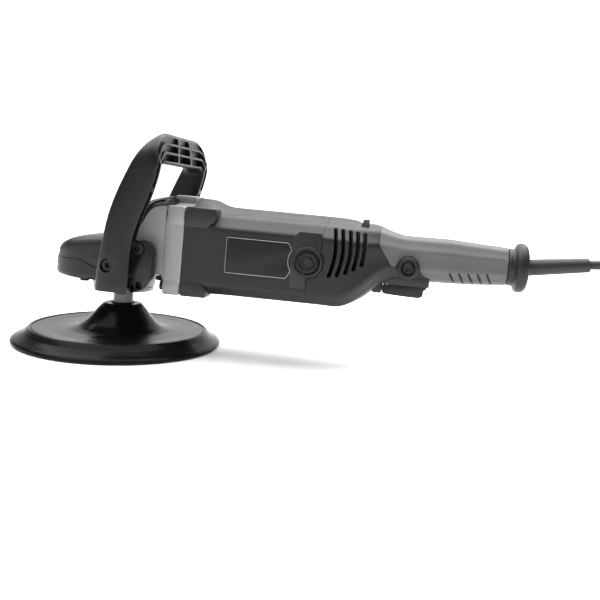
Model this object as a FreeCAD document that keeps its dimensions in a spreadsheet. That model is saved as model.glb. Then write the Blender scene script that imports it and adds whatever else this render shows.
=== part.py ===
import FreeCAD, Part
import Sketcher
import math
import os
from FreeCAD import Placement, Rotation, Vector

# Rotary polisher with a D-shaped front handle.  Millimetres, +Z up.
# The origin is the centre of the pad's bottom face, on the spindle axis.
# +X runs back along the motor to the cord, and +Y is the operator's left hand side.

os.makedirs("parts", exist_ok=True)
doc = FreeCAD.newDocument("RotaryPolisher")
sheet = doc.addObject("Spreadsheet::Sheet", "Sizes")


# ---------------------------------------------------------------- sizes

class Size(float):
    """A number that remembers the spreadsheet expression that it comes from."""

    def __new__(cls, value, text):
        size = float.__new__(cls, value)
        size.text = text
        return size

    def joined(self, sign, other, value, other_first=False):
        other_text = getattr(other, "text", repr(float(other)))
        first, second = (other_text, self.text) if other_first else (self.text, other_text)
        return Size(value, "(%s %s %s)" % (first, sign, second))

    def __add__(self, other):
        return self.joined("+", other, float(self) + float(other))

    def __radd__(self, other):
        return self.joined("+", other, float(other) + float(self), True)

    def __sub__(self, other):
        return self.joined("-", other, float(self) - float(other))

    def __rsub__(self, other):
        return self.joined("-", other, float(other) - float(self), True)

    def __mul__(self, other):
        return self.joined("*", other, float(self) * float(other))

    def __rmul__(self, other):
        return self.joined("*", other, float(other) * float(self), True)

    def __truediv__(self, other):
        return self.joined("/", other, float(self) / float(other))


def size(alias, value):
    """Write one driving dimension into the sheet and return it."""
    size.row += 1
    sheet.set("A%d" % size.row, alias.replace("_", " "))
    sheet.set("B%d" % size.row, repr(value))
    sheet.setAlias("B%d" % size.row, alias)
    return Size(value, "Sizes." + alias)


size.row = 0

fit_gap = size("fit_gap", 0.05)
running_gap = size("running_gap", 0.06)
clear_gap = size("clear_gap", 0.3)

# pad and spindle
pad_radius = size("pad_radius", 90.0)
backing_radius = size("backing_radius", 75.5)
pad_thickness = size("pad_thickness", 13.4)
hook_thickness = size("hook_thickness", 1.4)
hub_top = size("hub_top", 36.0)
hub_top_radius = size("hub_top_radius", 15.9)
hub_foot_radius = size("hub_foot_radius", 35.0)
thread_radius = size("thread_radius", 7.0)
spindle_radius = size("spindle_radius", 7.5)
spindle_hex_flats = size("spindle_hex_flats", 17.0)
boss_bottom = size("boss_bottom", 49.0)
boss_radius = size("boss_radius", 27.0)

# gears
motor_height = size("motor_height", 93.5)
bevel_module = size("bevel_module", 1.55)
bevel_face = size("bevel_face", 8.0)
crown_teeth = 40
pinion_teeth = 12
stage_module = size("stage_module", 1.0)
sun_teeth = 21
planet_teeth = 15
ring_teeth = 51
planet_count = 3
stage_start = size("stage_start", 55.0)
stage_face = size("stage_face", 10.0)
crown_radius = bevel_module * crown_teeth / 2
pinion_radius = bevel_module * pinion_teeth / 2
planet_orbit = stage_module * (sun_teeth + planet_teeth) / 2

# gear housing and its covers
nose_front = size("nose_front", 57.0)
nose_half_width = size("nose_half_width", 39.0)
cover_wall = size("cover_wall", 1.8)
flange_front = size("flange_front", 50.0)
flange_back = size("flange_back", 66.0)
band_height = size("band_height", 5.6)

# motor housing
body_half_width = size("body_half_width", 38.0)
body_top = size("body_top", 133.5)
body_bottom = size("body_bottom", 55.2)
collar_top = size("collar_top", 139.0)
housing_wall = size("housing_wall", 3.0)
shaft_radius = size("shaft_radius", 4.0)
core_radius = size("core_radius", 21.0)
core_start = size("core_start", 98.0)
core_length = size("core_length", 46.0)
brush_station = size("brush_station", 174.6)
brush_boss_radius = size("brush_boss_radius", 13.6)
rear_seam = size("rear_seam", 185.5)

# rear handle
grip_front = size("grip_front", 232.0)
grip_wall = size("grip_wall", 2.0)
handle_end = size("handle_end", 346.0)
collar_radius = size("collar_radius", 22.0)
collar_back = size("collar_back", 364.3)
trigger_front = size("trigger_front", 238.3)
trigger_length = size("trigger_length", 37.0)
trigger_half_width = size("trigger_half_width", 8.5)
lock_station = size("lock_station", 259.8)
lock_height = size("lock_height", 95.2)
lock_radius = size("lock_radius", 5.2)
dial_station = size("dial_station", 218.5)
dial_radius = size("dial_radius", 13.0)
dial_width = size("dial_width", 5.6)

# front handle
loop_inside = size("loop_inside", 51.0)
loop_outside = size("loop_outside", 64.0)
loop_top = size("loop_top", 189.0)
loop_bar_bottom = size("loop_bar_bottom", 165.0)
loop_foot = size("loop_foot", 55.0)
foot_inside = size("foot_inside", 42.8)

# cord
cord_diameter = size("cord_diameter", 8.0)
coil_radius = size("coil_radius", 44.0)
coil_width = size("coil_width", 24.0)
coil_lift = size("coil_lift", 1.2)
plug_pin_radius = size("plug_pin_radius", 2.4)
plug_pin_length = size("plug_pin_length", 19.0)
plug_pin_spacing = size("plug_pin_spacing", 19.0)
doc.recompute()

X_AXIS, Y_AXIS, Z_AXIS = Vector(1, 0, 0), Vector(0, 1, 0), Vector(0, 0, 1)
ORIGIN = Vector(0, 0, 0)
MOTOR_TURN = Rotation(Y_AXIS, 90)
SIDES = (-1, 1)
sub_parts = {}


# ---------------------------------------------------------------- helpers

def keep(thing, label):
    """Name a finished sub-part; its label is its file's name."""
    thing.Label = label
    sub_parts[label] = thing
    return thing


def bind(thing, name, value):
    """Tie one property to the sheet, or just set it when it is a bare number."""
    if isinstance(value, Size):
        thing.setExpression(name, value.text)
    setattr(thing, name, float(value))


def on_motor(station, height=motor_height, side=0.0):
    """A placement on the motor axis: local +Z points back along +X."""
    return Placement(Vector(station, side, height), MOTOR_TURN)


def upright(height, station=0.0, side=0.0):
    return Placement(Vector(station, side, height), Rotation())


def sketch_on(body, role, points, name):
    """Closed outline in one of the body's own origin planes, every corner bound to the sheet."""
    sketch = body.newObject("Sketcher::SketchObject", name)
    plane = [part for part in body.Origin.OriginFeatures if part.Role == role][0]
    sketch.AttachmentSupport = [(plane, "")]
    sketch.MapMode = "FlatFace"
    count = len(points)
    corners = [Vector(x, y, 0) for x, y in points]
    for i in range(count):
        sketch.addGeometry(Part.LineSegment(corners[i], corners[(i + 1) % count]), False)
    for i in range(count):
        sketch.addConstraint(Sketcher.Constraint("Coincident", i, 2, (i + 1) % count, 1))
    for i, corner in enumerate(points):
        for kind, axis, value in (("DistanceX", -2, corner[0]), ("DistanceY", -1, corner[1])):
            if abs(value) < 1e-9:
                sketch.addConstraint(Sketcher.Constraint("PointOnObject", i, 1, axis))
                continue
            place = sketch.addConstraint(Sketcher.Constraint(kind, -1, 1, i, 1, float(value)))
            if isinstance(value, Size):
                sketch.setExpression("Constraints[%d]" % place, value.text)
    return sketch


def lathe(label, points, place):
    """A turned piece: (radius, height) corners revolved round the body's own Z axis."""
    body = doc.addObject("PartDesign::Body", label)
    sketch = sketch_on(body, "XZ_Plane", points, label + "_profile")
    turn = body.newObject("PartDesign::Revolution", label + "_turn")
    turn.Profile = sketch
    turn.ReferenceAxis = (sketch, ["V_Axis"])
    turn.Angle = 360
    body.Tip = turn
    body.Placement = place
    return body


def ring(label, inner, outer, length, place):
    return lathe(label, [(inner, 0), (outer, 0), (outer, length), (inner, length)], place)


def box(name, length, width, height, corner):
    """Part::Box with a bound size and its lowest corner at a point."""
    block = doc.addObject("Part::Box", name)
    for prop, value in (("Length", length), ("Width", width), ("Height", height)):
        bind(block, prop, value)
    block.Placement.Base = Vector(*corner)
    return block


def rod(name, radius, length, place):
    cylinder = doc.addObject("Part::Cylinder", name)
    bind(cylinder, "Radius", radius)
    bind(cylinder, "Height", length)
    cylinder.Placement = place
    return cylinder


def cone(name, low_radius, high_radius, length, place):
    shape = doc.addObject("Part::Cone", name)
    bind(shape, "Radius1", low_radius)
    bind(shape, "Radius2", high_radius)
    bind(shape, "Height", length)
    shape.Placement = place
    return shape


def fused(name, shapes):
    union = doc.addObject("Part::MultiFuse", name)
    union.Shapes = shapes
    return union


def less(name, base, tool):
    cut = doc.addObject("Part::Cut", name)
    cut.Base = base
    cut.Tool = tool
    return cut


def group(name, shapes):
    """Identical loose pieces in one node."""
    compound = doc.addObject("Part::Compound", name)
    compound.Links = shapes
    return compound


def free_shape(label, shape):
    feature = doc.addObject("Part::Feature", label)
    feature.Shape = shape
    return feature


def solid_box(low, high):
    return Part.makeBox(high[0] - low[0], high[1] - low[1], high[2] - low[2], Vector(*low))


def side_prism(points, half_width):
    """Outline in the XZ plane, as deep as the whole machine is wide."""
    corners = [Vector(x, -half_width, z) for x, z in points]
    face = Part.Face(Part.makePolygon(corners + corners[:1]))
    return face.extrude(Vector(0, 2 * half_width, 0))


def motor_rod(radius, start, end, height=motor_height, side=0.0):
    return Part.makeCylinder(radius, end - start, Vector(start, side, height), X_AXIS)


def post(radius, low, high, station=0.0, side=0.0):
    return Part.makeCylinder(radius, high - low, Vector(station, side, low), Z_AXIS)


def cross_rod(radius, start, end, station, height):
    return Part.makeCylinder(radius, end - start, Vector(station, start, height), Y_AXIS)


def spring(radius, wire, length, turns):
    """Round-wire compression spring standing on its own Z axis."""
    helix = Part.makeHelix(length / turns, length, radius)
    section = Part.Wire(Part.makeCircle(wire, Vector(radius, 0, 0), Y_AXIS))
    return Part.Wire(helix).makePipeShell([section], True, True)


# ---------------------------------------------------------------- gear teeth

PRESSURE = math.radians(20)
BACKLASH = 0.13
ADDENDUM = 0.85
DEDENDUM = 1.2
BEVEL_BACKLASH = 0.30
BEVEL_ADDENDUM = 0.72


def involute(angle):
    return math.tan(angle) - angle


def half_thickness_angle(teeth, module, radius, slack):
    """Half the angle that a tooth spans at a radius, thinned by slack millimetres a flank."""
    pitch_radius = module * teeth / 2
    base = pitch_radius * math.cos(PRESSURE)
    at = math.acos(min(1.0, base / max(radius, base)))
    return math.pi / (2 * teeth) + involute(PRESSURE) - involute(at) - slack / pitch_radius


def tooth_ring(teeth, module, slack, addendum, dedendum, phase):
    """Closed outline of a spur gear about the origin, first tooth at the phase angle."""
    pitch_radius = module * teeth / 2
    root, tip = pitch_radius - dedendum * module, pitch_radius + addendum * module
    flank = [root + (tip - root) * step / 4 for step in range(5)]
    points = []
    for tooth in range(teeth):
        centre = phase + 2 * math.pi * tooth / teeth
        rise = [(r, centre - half_thickness_angle(teeth, module, r, slack)) for r in flank]
        fall = [(r, 2 * centre - angle) for r, angle in reversed(rise)]
        points += [Vector(r * math.cos(a), r * math.sin(a), 0) for r, a in rise + fall]
    return Part.Wire(Part.makePolygon(points + points[:1]))


def spur_solid(teeth, module, width, phase):
    face = Part.Face(tooth_ring(teeth, module, BACKLASH, ADDENDUM, DEDENDUM, phase))
    return face.extrude(Vector(0, 0, width))


def bevel_teeth(teeth, mate_teeth, module, face_width, phase):
    """Straight teeth about +Z, apex at the origin, large end at positive Z."""
    pitch_radius, apex_height = module * teeth / 2, module * mate_teeth / 2
    distance = math.hypot(pitch_radius, apex_height)
    lean = math.atan2(pitch_radius, apex_height)
    virtual = teeth / math.cos(lean)
    virtual_radius = module * virtual / 2
    heights = [-DEDENDUM * module, -0.4 * module, 0.3 * module, BEVEL_ADDENDUM * module]

    def section(centre, scale):
        points = []
        for side, steps in ((-1, heights), (1, heights[::-1])):
            for rise in steps:
                half = half_thickness_angle(virtual, module, virtual_radius + rise, BEVEL_BACKLASH)
                wide = side * half * (virtual_radius + rise)
                radius = pitch_radius + rise * math.cos(lean)
                height = apex_height - rise * math.sin(lean)
                across = Vector(-math.sin(centre), math.cos(centre), 0) * wide
                out = Vector(math.cos(centre) * radius, math.sin(centre) * radius, height)
                points.append((out + across) * scale)
        return Part.Wire(Part.makePolygon(points + points[:1]))

    inner_scale = (distance - face_width) / distance
    solids = []
    for tooth in range(teeth):
        centre = phase + 2 * math.pi * tooth / teeth
        ends = [section(centre, 1.0), section(centre, inner_scale)]
        solids.append(Part.makeLoft(ends, True, True))
    return solids


# ---------------------------------------------------------------- pad

def build_pad():
    """Hook face, flared cushion and glossy backing plate with its threaded insert."""
    keep(ring("hook_face", 0, pad_radius - 2, hook_thickness, upright(0)), "hook_face")
    lip = pad_radius - 0.2
    cushion = [(0, 0), (lip, 0), (pad_radius, 1.0), (pad_radius - 1.2, 2.2),
               (pad_radius - 7, 4.6), (backing_radius + 3.4, 7.6), (backing_radius, 11.6),
               (backing_radius - 1.2, 11.6), (backing_radius - 4, 6.0), (0, 6.0)]
    keep(lathe("pad_cushion", cushion, upright(hook_thickness)), "pad_cushion")
    floor = hook_thickness + 6.3
    rim = backing_radius - 1.6
    backing = [(thread_radius + 3.6, floor), (rim - 3.6, floor), (rim, pad_thickness - 0.4),
               (rim - 2.0, pad_thickness), (56, 11.9), (hub_foot_radius + 3, 12.6),
               (hub_foot_radius - 4, 16.5), (25.5, 24.0), (20.0, 31.5),
               (hub_top_radius, hub_top - 0.6), (hub_top_radius - 0.8, hub_top),
               (thread_radius + 3.6, hub_top)]
    keep(lathe("pad_backing", backing, upright(0)), "pad_backing")
    keep(ring("pad_insert", thread_radius + running_gap, thread_radius + 3.5,
              hub_top - 12 - floor, upright(floor + 12)), "pad_insert")


# ---------------------------------------------------------------- spindle and crown gear

def build_spindle():
    """Threaded nose, wrench flats, bearing seat, gear seat and top journal in one turned bar."""
    crown_low = 73.5
    steps = [(0, hub_top - 17), (thread_radius, hub_top - 17), (thread_radius, hub_top + 0.3),
             (9.0, hub_top + 0.3), (9.0, boss_bottom + 3.6), (spindle_radius, boss_bottom + 3.6),
             (spindle_radius, 86.0), (5.0, 86.0), (5.0, 96.0), (0, 96.0)]
    bar = lathe("spindle_bar", steps, upright(0))
    flats = []
    for turn in range(6):
        block = box("wrench_flat", 8, 24, 9, (0, 0, 0))
        bearing = Rotation(Z_AXIS, 60 * turn + 30)
        corner = Vector(spindle_hex_flats / 2, -12, hub_top + 1.3)
        block.Placement = Placement(bearing.multVec(corner), bearing)
        flats.append(block)
    keep(less("spindle", bar, fused("wrench_flats", flats)), "spindle")

    lean = math.atan2(crown_radius, pinion_radius)
    teeth = bevel_teeth(crown_teeth, pinion_teeth, bevel_module, bevel_face, 0.0)
    inner = 1 - bevel_face / math.hypot(crown_radius, pinion_radius)
    root = DEDENDUM * bevel_module
    outline = []
    for scale, drop in ((1.0, root - 0.3), (inner, root * inner - 0.3)):
        radius = (crown_radius - drop * math.cos(lean)) * scale
        height = (pinion_radius + drop * math.sin(lean)) * scale
        outline.append((radius, motor_height - height))
    bore = spindle_radius + 0.01
    blank = [(bore, crown_low), (crown_radius - 0.6, crown_low)] + outline + \
            [(outline[1][0] - 1.2, outline[1][1] - 1.0), (13.0, 81.5), (13.0, 84.0), (bore, 84.0)]
    corners = [Vector(r, 0, z) for r, z in blank]
    body = Part.Face(Part.makePolygon(corners + corners[:1])).revolve(ORIGIN, Z_AXIS, 360)
    flip = Placement(Vector(0, 0, motor_height), Rotation(X_AXIS, 180))
    for tooth in teeth:
        tooth.Placement = flip
    body = body.fuse(teeth)
    holes = [post(3.2, crown_low - 1, crown_low + 4, 25 * math.cos(a), 25 * math.sin(a))
             for a in (math.radians(30 * step) for step in range(12))]
    keep(free_shape("crown_gear", body.cut(holes)), "crown_gear")


# ---------------------------------------------------------------- reduction gears

def build_bevel_pinion():
    """Twelve-tooth pinion in one piece with the shaft that the planet carrier is pressed on."""
    phase = math.pi / pinion_teeth
    teeth = bevel_teeth(pinion_teeth, crown_teeth, bevel_module, bevel_face, phase)
    inner = 1 - bevel_face / math.hypot(crown_radius, pinion_radius)
    root = (pinion_radius - DEDENDUM * bevel_module * math.cos(
        math.atan2(pinion_radius, crown_radius))) + 0.25
    start, end = crown_radius * inner + 0.2, crown_radius + 0.4
    hub = Part.makeCone(root * inner, root, end - start, Vector(0, 0, start), Z_AXIS)
    shoulder = Part.makeCylinder(root, 3.0, Vector(0, 0, end), Z_AXIS)
    shaft = Part.makeCylinder(5.0, 54.0 - end, Vector(0, 0, end), Z_AXIS)
    solid = hub.fuse([shoulder, shaft] + teeth)
    pinion = free_shape("bevel_pinion", solid)
    pinion.Placement = on_motor(0)
    keep(pinion, "bevel_pinion")


def build_planet_stage():
    """Sun on the armature shaft, three planets on a carrier, and a fixed ring gear."""
    disc = Part.makeCylinder(21.5, 3.6, Vector(0, 0, 50.5), Z_AXIS)
    disc = disc.cut(Part.makeCylinder(5.0 + 0.01, 3.6, Vector(0, 0, 50.5), Z_AXIS))
    pins = []
    for index in range(planet_count):
        angle = 2 * math.pi * index / planet_count
        centre = Vector(planet_orbit * math.cos(angle), planet_orbit * math.sin(angle), 53.0)
        pins.append(Part.makeCylinder(2.5, stage_start + stage_face - 53.0 + 0.6, centre, Z_AXIS))
    carrier = free_shape("planet_carrier", disc.fuse(pins))
    carrier.Placement = on_motor(0)
    keep(carrier, "planet_carrier")

    for index in range(planet_count):
        angle = 2 * math.pi * index / planet_count
        # an odd planet has a space facing the sun where it has a tooth facing the ring
        gear = spur_solid(planet_teeth, stage_module, stage_face, angle)
        gear = gear.cut(Part.makeCylinder(2.5 + running_gap, stage_face))
        centre = Vector(planet_orbit * math.cos(angle), planet_orbit * math.sin(angle), 0)
        name = "planet_gear_%d" % (index + 1)
        planet = free_shape(name, gear)
        planet.Placement = on_motor(stage_start).multiply(Placement(centre, Rotation()))
        keep(planet, name)

    outer = Part.makeCylinder(29.9, stage_face + 1, Vector(0, 0, -0.5), Z_AXIS)
    space = tooth_ring(ring_teeth, stage_module, -BACKLASH, DEDENDUM, ADDENDUM, 0.0)
    bore = Part.Face(space).extrude(Vector(0, 0, stage_face + 1))
    bore.translate(Vector(0, 0, -0.5))
    internal = free_shape("ring_gear", outer.cut(bore))
    internal.Placement = on_motor(stage_start)
    keep(internal, "ring_gear")


# ---------------------------------------------------------------- body sections

# Outline of the motor housing's cross section, as fractions of its half width and half height:
# a crowned top, a flat chamfer, an upright side and a small lower chamfer.
SHOULDER = (0.684, 0.209)
CHAMFER_FOOT = (0.996, 0.471)
LOW_SIDE = (0.996, 0.242)
LOW_EDGE = (0.776, 0.038)
# the same corners on the oval rear handle
OVAL_SHOULDER = (0.60, 0.16)
OVAL_SIDE = (0.93, 0.62)


def body_section(station, half_width, top, bottom, oval):
    """Closed wire of eight arcs; oval runs from 0, the motor housing, to 1, the rear handle."""
    half_height = (top - bottom) / 2
    middle = (top + bottom) / 2

    def blend(boxy, round_one):
        return [a + (b - a) * oval for a, b in zip(boxy, round_one)]

    shoulder, chamfer = blend(SHOULDER, OVAL_SHOULDER), blend(CHAMFER_FOOT, OVAL_SIDE)
    low_side, low_edge = blend(LOW_SIDE, OVAL_SIDE), blend(LOW_EDGE, OVAL_SHOULDER)
    right = [(shoulder[0], half_height * (1 - shoulder[1])),
             (chamfer[0], half_height * (1 - chamfer[1])),
             (low_side[0], -half_height * (1 - low_side[1])),
             (low_edge[0], -half_height * (1 - low_edge[1]))]
    right = [(y * half_width, middle + z) for y, z in right]
    ring_points = right + [(-y, z) for y, z in reversed(right)]
    bulges = [0.01 + 0.11 * oval, 0, 0.01 + 0.11 * oval, 0, 0.01 + 0.11 * oval, 0,
              0.01 + 0.11 * oval, 0]
    edges = []
    for i, (start, end) in enumerate(zip(ring_points, ring_points[1:] + ring_points[:1])):
        mid = [(start[0] + end[0]) / 2, (start[1] + end[1]) / 2]
        if i == 1:
            mid = [half_width, mid[1]]
        elif i == 3:
            mid = [0, bottom]
        elif i == 5:
            mid = [-half_width, mid[1]]
        elif i == 7:
            mid = [0, top]
        else:
            chord = (end[0] - start[0], end[1] - start[1])
            mid = [mid[0] - chord[1] * -bulges[i], mid[1] - chord[0] * bulges[i]]
            # the bulge always points away from the centre of the section
            if math.hypot(mid[0], mid[1] - middle) < math.hypot(
                    (start[0] + end[0]) / 2, (start[1] + end[1]) / 2 - middle):
                mid = [start[0] + end[0] - mid[0], start[1] + end[1] - mid[1]]
        points = [Vector(station, y, z) for y, z in (start, mid, end)]
        edges.append(Part.Arc(*points).toShape())
    return Part.Wire(edges)


def body_loft(stations, inset=0.0):
    wires = [body_section(x, w - inset, top - inset, bottom + inset, oval)
             for x, w, top, bottom, oval in stations]
    return Part.makeLoft(wires, True, False)


COLLAR = (float(body_half_width), float(collar_top), 53.6, 0.0)
MOTOR = (float(body_half_width), float(body_top), float(body_bottom), 0.0)

# station, half width, top, bottom, how oval
HANDLE_STATIONS = [
    (170.0,) + MOTOR,
    (186.0,) + MOTOR,
    (202.0, 38.0, 133.4, 54.4, 0.05),
    (212.0, 37.0, 132.6, 57.2, 0.2),
    (222.0, 34.2, 131.6, 63.2, 0.45),
    (232.0, 29.8, 130.4, 72.0, 0.7),
    (242.0, 24.4, 126.4, 79.2, 0.88),
    (254.0, 20.2, 123.4, 82.2, 1.0),
    (270.0, 19.0, 123.6, 82.0, 1.0),
    (293.0, 18.8, 124.0, 82.2, 1.0),
    (320.0, 17.8, 122.4, 83.6, 1.0),
    (346.0, 16.6, 121.0, 86.0, 1.0),
]


def corner_blocks():
    """Screw bosses that square up the front corners of the motor housing."""
    blocks = []
    for side in SIDES:
        for low, high, back in ((113.5, 131.0, 92.5), (53.6, 66.5, 89.0)):
            inner, outer = sorted((side * 24.0, side * (body_half_width + 0.4)))
            blocks.append(solid_box((float(flange_front), inner, low), (back, outer, high)))
    return blocks


# ---------------------------------------------------------------- gear head

HEAD_TOP = [(-57, 80.5), (-48.5, 90.6), (-37, 95.6), (-22, 98.8), (-4, 101.2), (14, 102.8),
            (19.5, 106.0), (24.5, 120.0), (28.5, 130.5), (35, 136.4), (44, 138.2), (50, 138.4)]
HEAD_BOTTOM = [(50, 70.0), (29, 68.4), (24, 59.4), (-22, 59.4), (-50, 61.2), (-57, 64.5)]


def head_envelope(inset):
    """Outer shape of the gear head and its covers, moved inwards by inset millimetres."""
    corners = [Vector(x, 0, z) for x, z in HEAD_TOP + HEAD_BOTTOM]
    profile = Part.Face(Part.makePolygon(corners + corners[:1]))
    corner = 33.0
    x_front, w = -float(nose_front), float(nose_half_width)
    diagonal = corner * (1 - math.sqrt(0.5))
    arcs = []
    for side in SIDES:
        arcs.append([Vector(x_front + corner, side * w, 0),
                     Vector(x_front + diagonal, side * (w - diagonal), 0),
                     Vector(x_front, side * (w - corner), 0)])
    back = float(flange_front)
    right, left = arcs
    edges = [Part.makeLine(Vector(back, -w, 0), right[0]), Part.Arc(*right).toShape(),
             Part.makeLine(right[2], left[2]), Part.Arc(*left[::-1]).toShape(),
             Part.makeLine(left[0], Vector(back, w, 0)),
             Part.makeLine(Vector(back, w, 0), Vector(back, -w, 0))]
    plan = Part.Face(Part.Wire(edges))
    if inset:
        profile = profile.makeOffset2D(-inset)
        plan = plan.makeOffset2D(-inset)
    profile.translate(Vector(0, -50, 0))
    plan.translate(Vector(0, 0, 40))
    return profile.extrude(Vector(0, 100, 0)).common(plan.extrude(Vector(0, 0, 110)))


# centre line of the black band between the upper cover and what lies below it
BAND_LINE = [(-70, 79.2), (-24, 79.2), (-10, 73.5), (6, 75.0), (22.5, 100.0), (28.5, 114.0),
             (36.0, 129.2), (60, 133.6)]


def band_region(low, high):
    """Prism between two offsets of the band's centre line."""
    upper = [(x, z + high) for x, z in BAND_LINE]
    lower = [(x, z + low) for x, z in reversed(BAND_LINE)]
    return side_prism(upper + lower, 60)


def build_gear_head():
    outer = head_envelope(0)
    skin_inside = head_envelope(float(cover_wall))
    core = head_envelope(float(cover_wall) + 0.15)
    half_band = band_height / 2
    skin = outer.cut(skin_inside)
    above, below = band_region(half_band, 90), band_region(-70, -half_band)
    front = solid_box((-80, -60, 40), (-3, 60, 150))
    back_stop = solid_box((-80, -60, 40), (47.5, 60, 150))
    boss_clear = [cross_rod(8.0 + clear_gap, -60, 60, x, z) for x, z in SIDE_BOSSES]
    boss_clear.append(solid_box((45.6, -11.4, 120), (60, 11.4, 150)))
    upper = skin.common(above).common(back_stop).cut(boss_clear)
    keep(free_shape("gear_head_cover", largest(upper)), "gear_head_cover")

    notches = [post(4.0 + clear_gap, 50, 70, -38.0), post(boss_radius + clear_gap, 40, 90)]
    guard = skin.common(below).common(front).cut(notches)
    keep(free_shape("nose_guard", largest(guard)), "nose_guard")

    belt = skin.common(band_region(-half_band + 0.05, half_band - 0.05)).common(back_stop)
    belt = belt.cut(boss_clear)
    keep(free_shape("cover_band", largest(belt)), "cover_band")

    exposed = outer.common(below).cut(front)
    flange = body_section(float(flange_front), *COLLAR)
    flange = Part.Face(flange).extrude(Vector(flange_back - flange_front, 0, 0))
    blocks = [block.common(solid_box((40, -60, 40), (float(flange_back), 60, 160)))
              for block in corner_blocks()]
    ear = solid_box((46.0, -11, 128), (float(flange_front) + 1, 11, 138.6))
    boss = post(boss_radius, boss_bottom + 3.3, 72)
    side_bosses = []
    for side in SIDES:
        for station, height in SIDE_BOSSES:
            start, end = sorted((side * 30.0, side * (foot_inside - 0.2)))
            side_bosses.append(cross_rod(8.0, start, end, station, height))
    housing = core.fuse([exposed, flange, boss, ear] + blocks)
    housing = housing.fuse(side_bosses)

    inner_scale = 1 - bevel_face / math.hypot(crown_radius, pinion_radius)
    pinion_tip = pinion_radius + bevel_module
    cuts = [
        post(32.6, 68.5, 89.6),
        Part.makeCone(pinion_tip * inner_scale + 0.3, pinion_tip + 1.2, 11.5,
                      Vector(22.4, 0, motor_height), X_AXIS),
        motor_rod(pinion_tip + 1.2, 33.8, 36.0),
        motor_rod(13.0 + fit_gap, 36.0, 46.2),
        motor_rod(8.0, 46.0, 48.0),
        motor_rod(30.0, 47.6, flange_back + 1),
        post(16.0 + fit_gap, 40, 64.0),
        post(10.5, 63.0, 70.0),
        post(7.0 + fit_gap, 85, 97.0),
    ]
    lock_slot = [post(4.0 + running_gap, 50, 66.0, -38.0),
                 solid_box((-43.5, -5.6, 62.2), (-20.0, 5.6, 71.0)),
                 post(2.5 + 0.5, 60, 72.0, -25.0)]
    bolt_holes = []
    for side in SIDES:
        for station, height in SIDE_BOSSES:
            start, end = sorted((side * 33.2, side * 60.0))
            bolt_holes.append(cross_rod(3.0 + fit_gap, start, end, station, height))
    screw_holes = [motor_rod(2.0 + fit_gap, 49.0, 70.0, z, y) for y, z in FLANGE_SCREWS]
    relief = [motor_rod(4.6, 40.0, 50.4, z, y) for y, z in FLANGE_SCREWS]
    housing = housing.cut(cuts + lock_slot + bolt_holes + screw_holes + relief)
    keep(free_shape("gear_housing", housing), "gear_housing")


SIDE_BOSSES = [(12.3, 76.8), (33.0, 92.0)]
FLANGE_SCREWS = [(-31.5, 124.0), (31.5, 124.0), (-31.5, 60.5), (31.5, 60.5)]


def build_head_fittings():
    """Bearings, retainer, screws and the spindle lock."""
    keep(ring("spindle_bearing", spindle_radius + running_gap, 16.0, 10.0, upright(54.0)),
         "spindle_bearing")
    keep(ring("bearing_retainer", 9.0 + clear_gap, boss_radius - 1, 3.2, upright(boss_bottom)),
         "bearing_retainer")
    keep(ring("spindle_bush", 5.0 + running_gap, 7.0, 7.0, upright(89.9)), "spindle_bush")
    keep(ring("carrier_bearing", 5.0 + running_gap, 13.0, 10.0, on_motor(36.1)),
         "carrier_bearing")
    screws = []
    for index, (y, z) in enumerate(FLANGE_SCREWS):
        head = rod("screw_head", 4.2, 3.4, on_motor(47.0, z, y))
        shank = rod("screw_shank", 2.0, 19.0, on_motor(50.4, z, y))
        screws.append(fused("housing_screw", [head, shank]))
    keep(group("gear_housing_screws", screws), "gear_housing_screws")

    button = rod("lock_button_post", 4.0, 12.0, upright(52.4, -38.0))
    arm = box("lock_arm", 20.0, 10.0, 3.0, (-42.5, -5.0, 62.6))
    pin = rod("lock_pin", 2.5, 8.6, upright(64.0, -25.0))
    keep(fused("spindle_lock", [button, arm, pin]), "spindle_lock")
    coil = free_shape("spindle_lock_spring", spring(3.0, 0.35, 4.2, 3))
    coil.Placement = upright(66.1, -38.0)
    keep(coil, "spindle_lock_spring")


# ---------------------------------------------------------------- front handle

LOOP_FRONT = [(1.8, 55), (1.9, 65), (2.4, 75), (4.5, 93), (7.4, 114), (13, 135), (21.5, 156.5),
              (32, 178), (38, 185.2), (43, 190)]
LOOP_BACK = [(45, 190), (47.5, 185), (49.5, 176), (49.5, 165), (46.8, 153), (42.8, 138),
             (35.5, 116), (31, 95), (30.4, 66), (30.4, 55)]


def spline(points):
    curve = Part.BSplineCurve()
    curve.interpolate([Vector(x, 0, z) for x, z in points])
    return curve.toShape()


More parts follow.
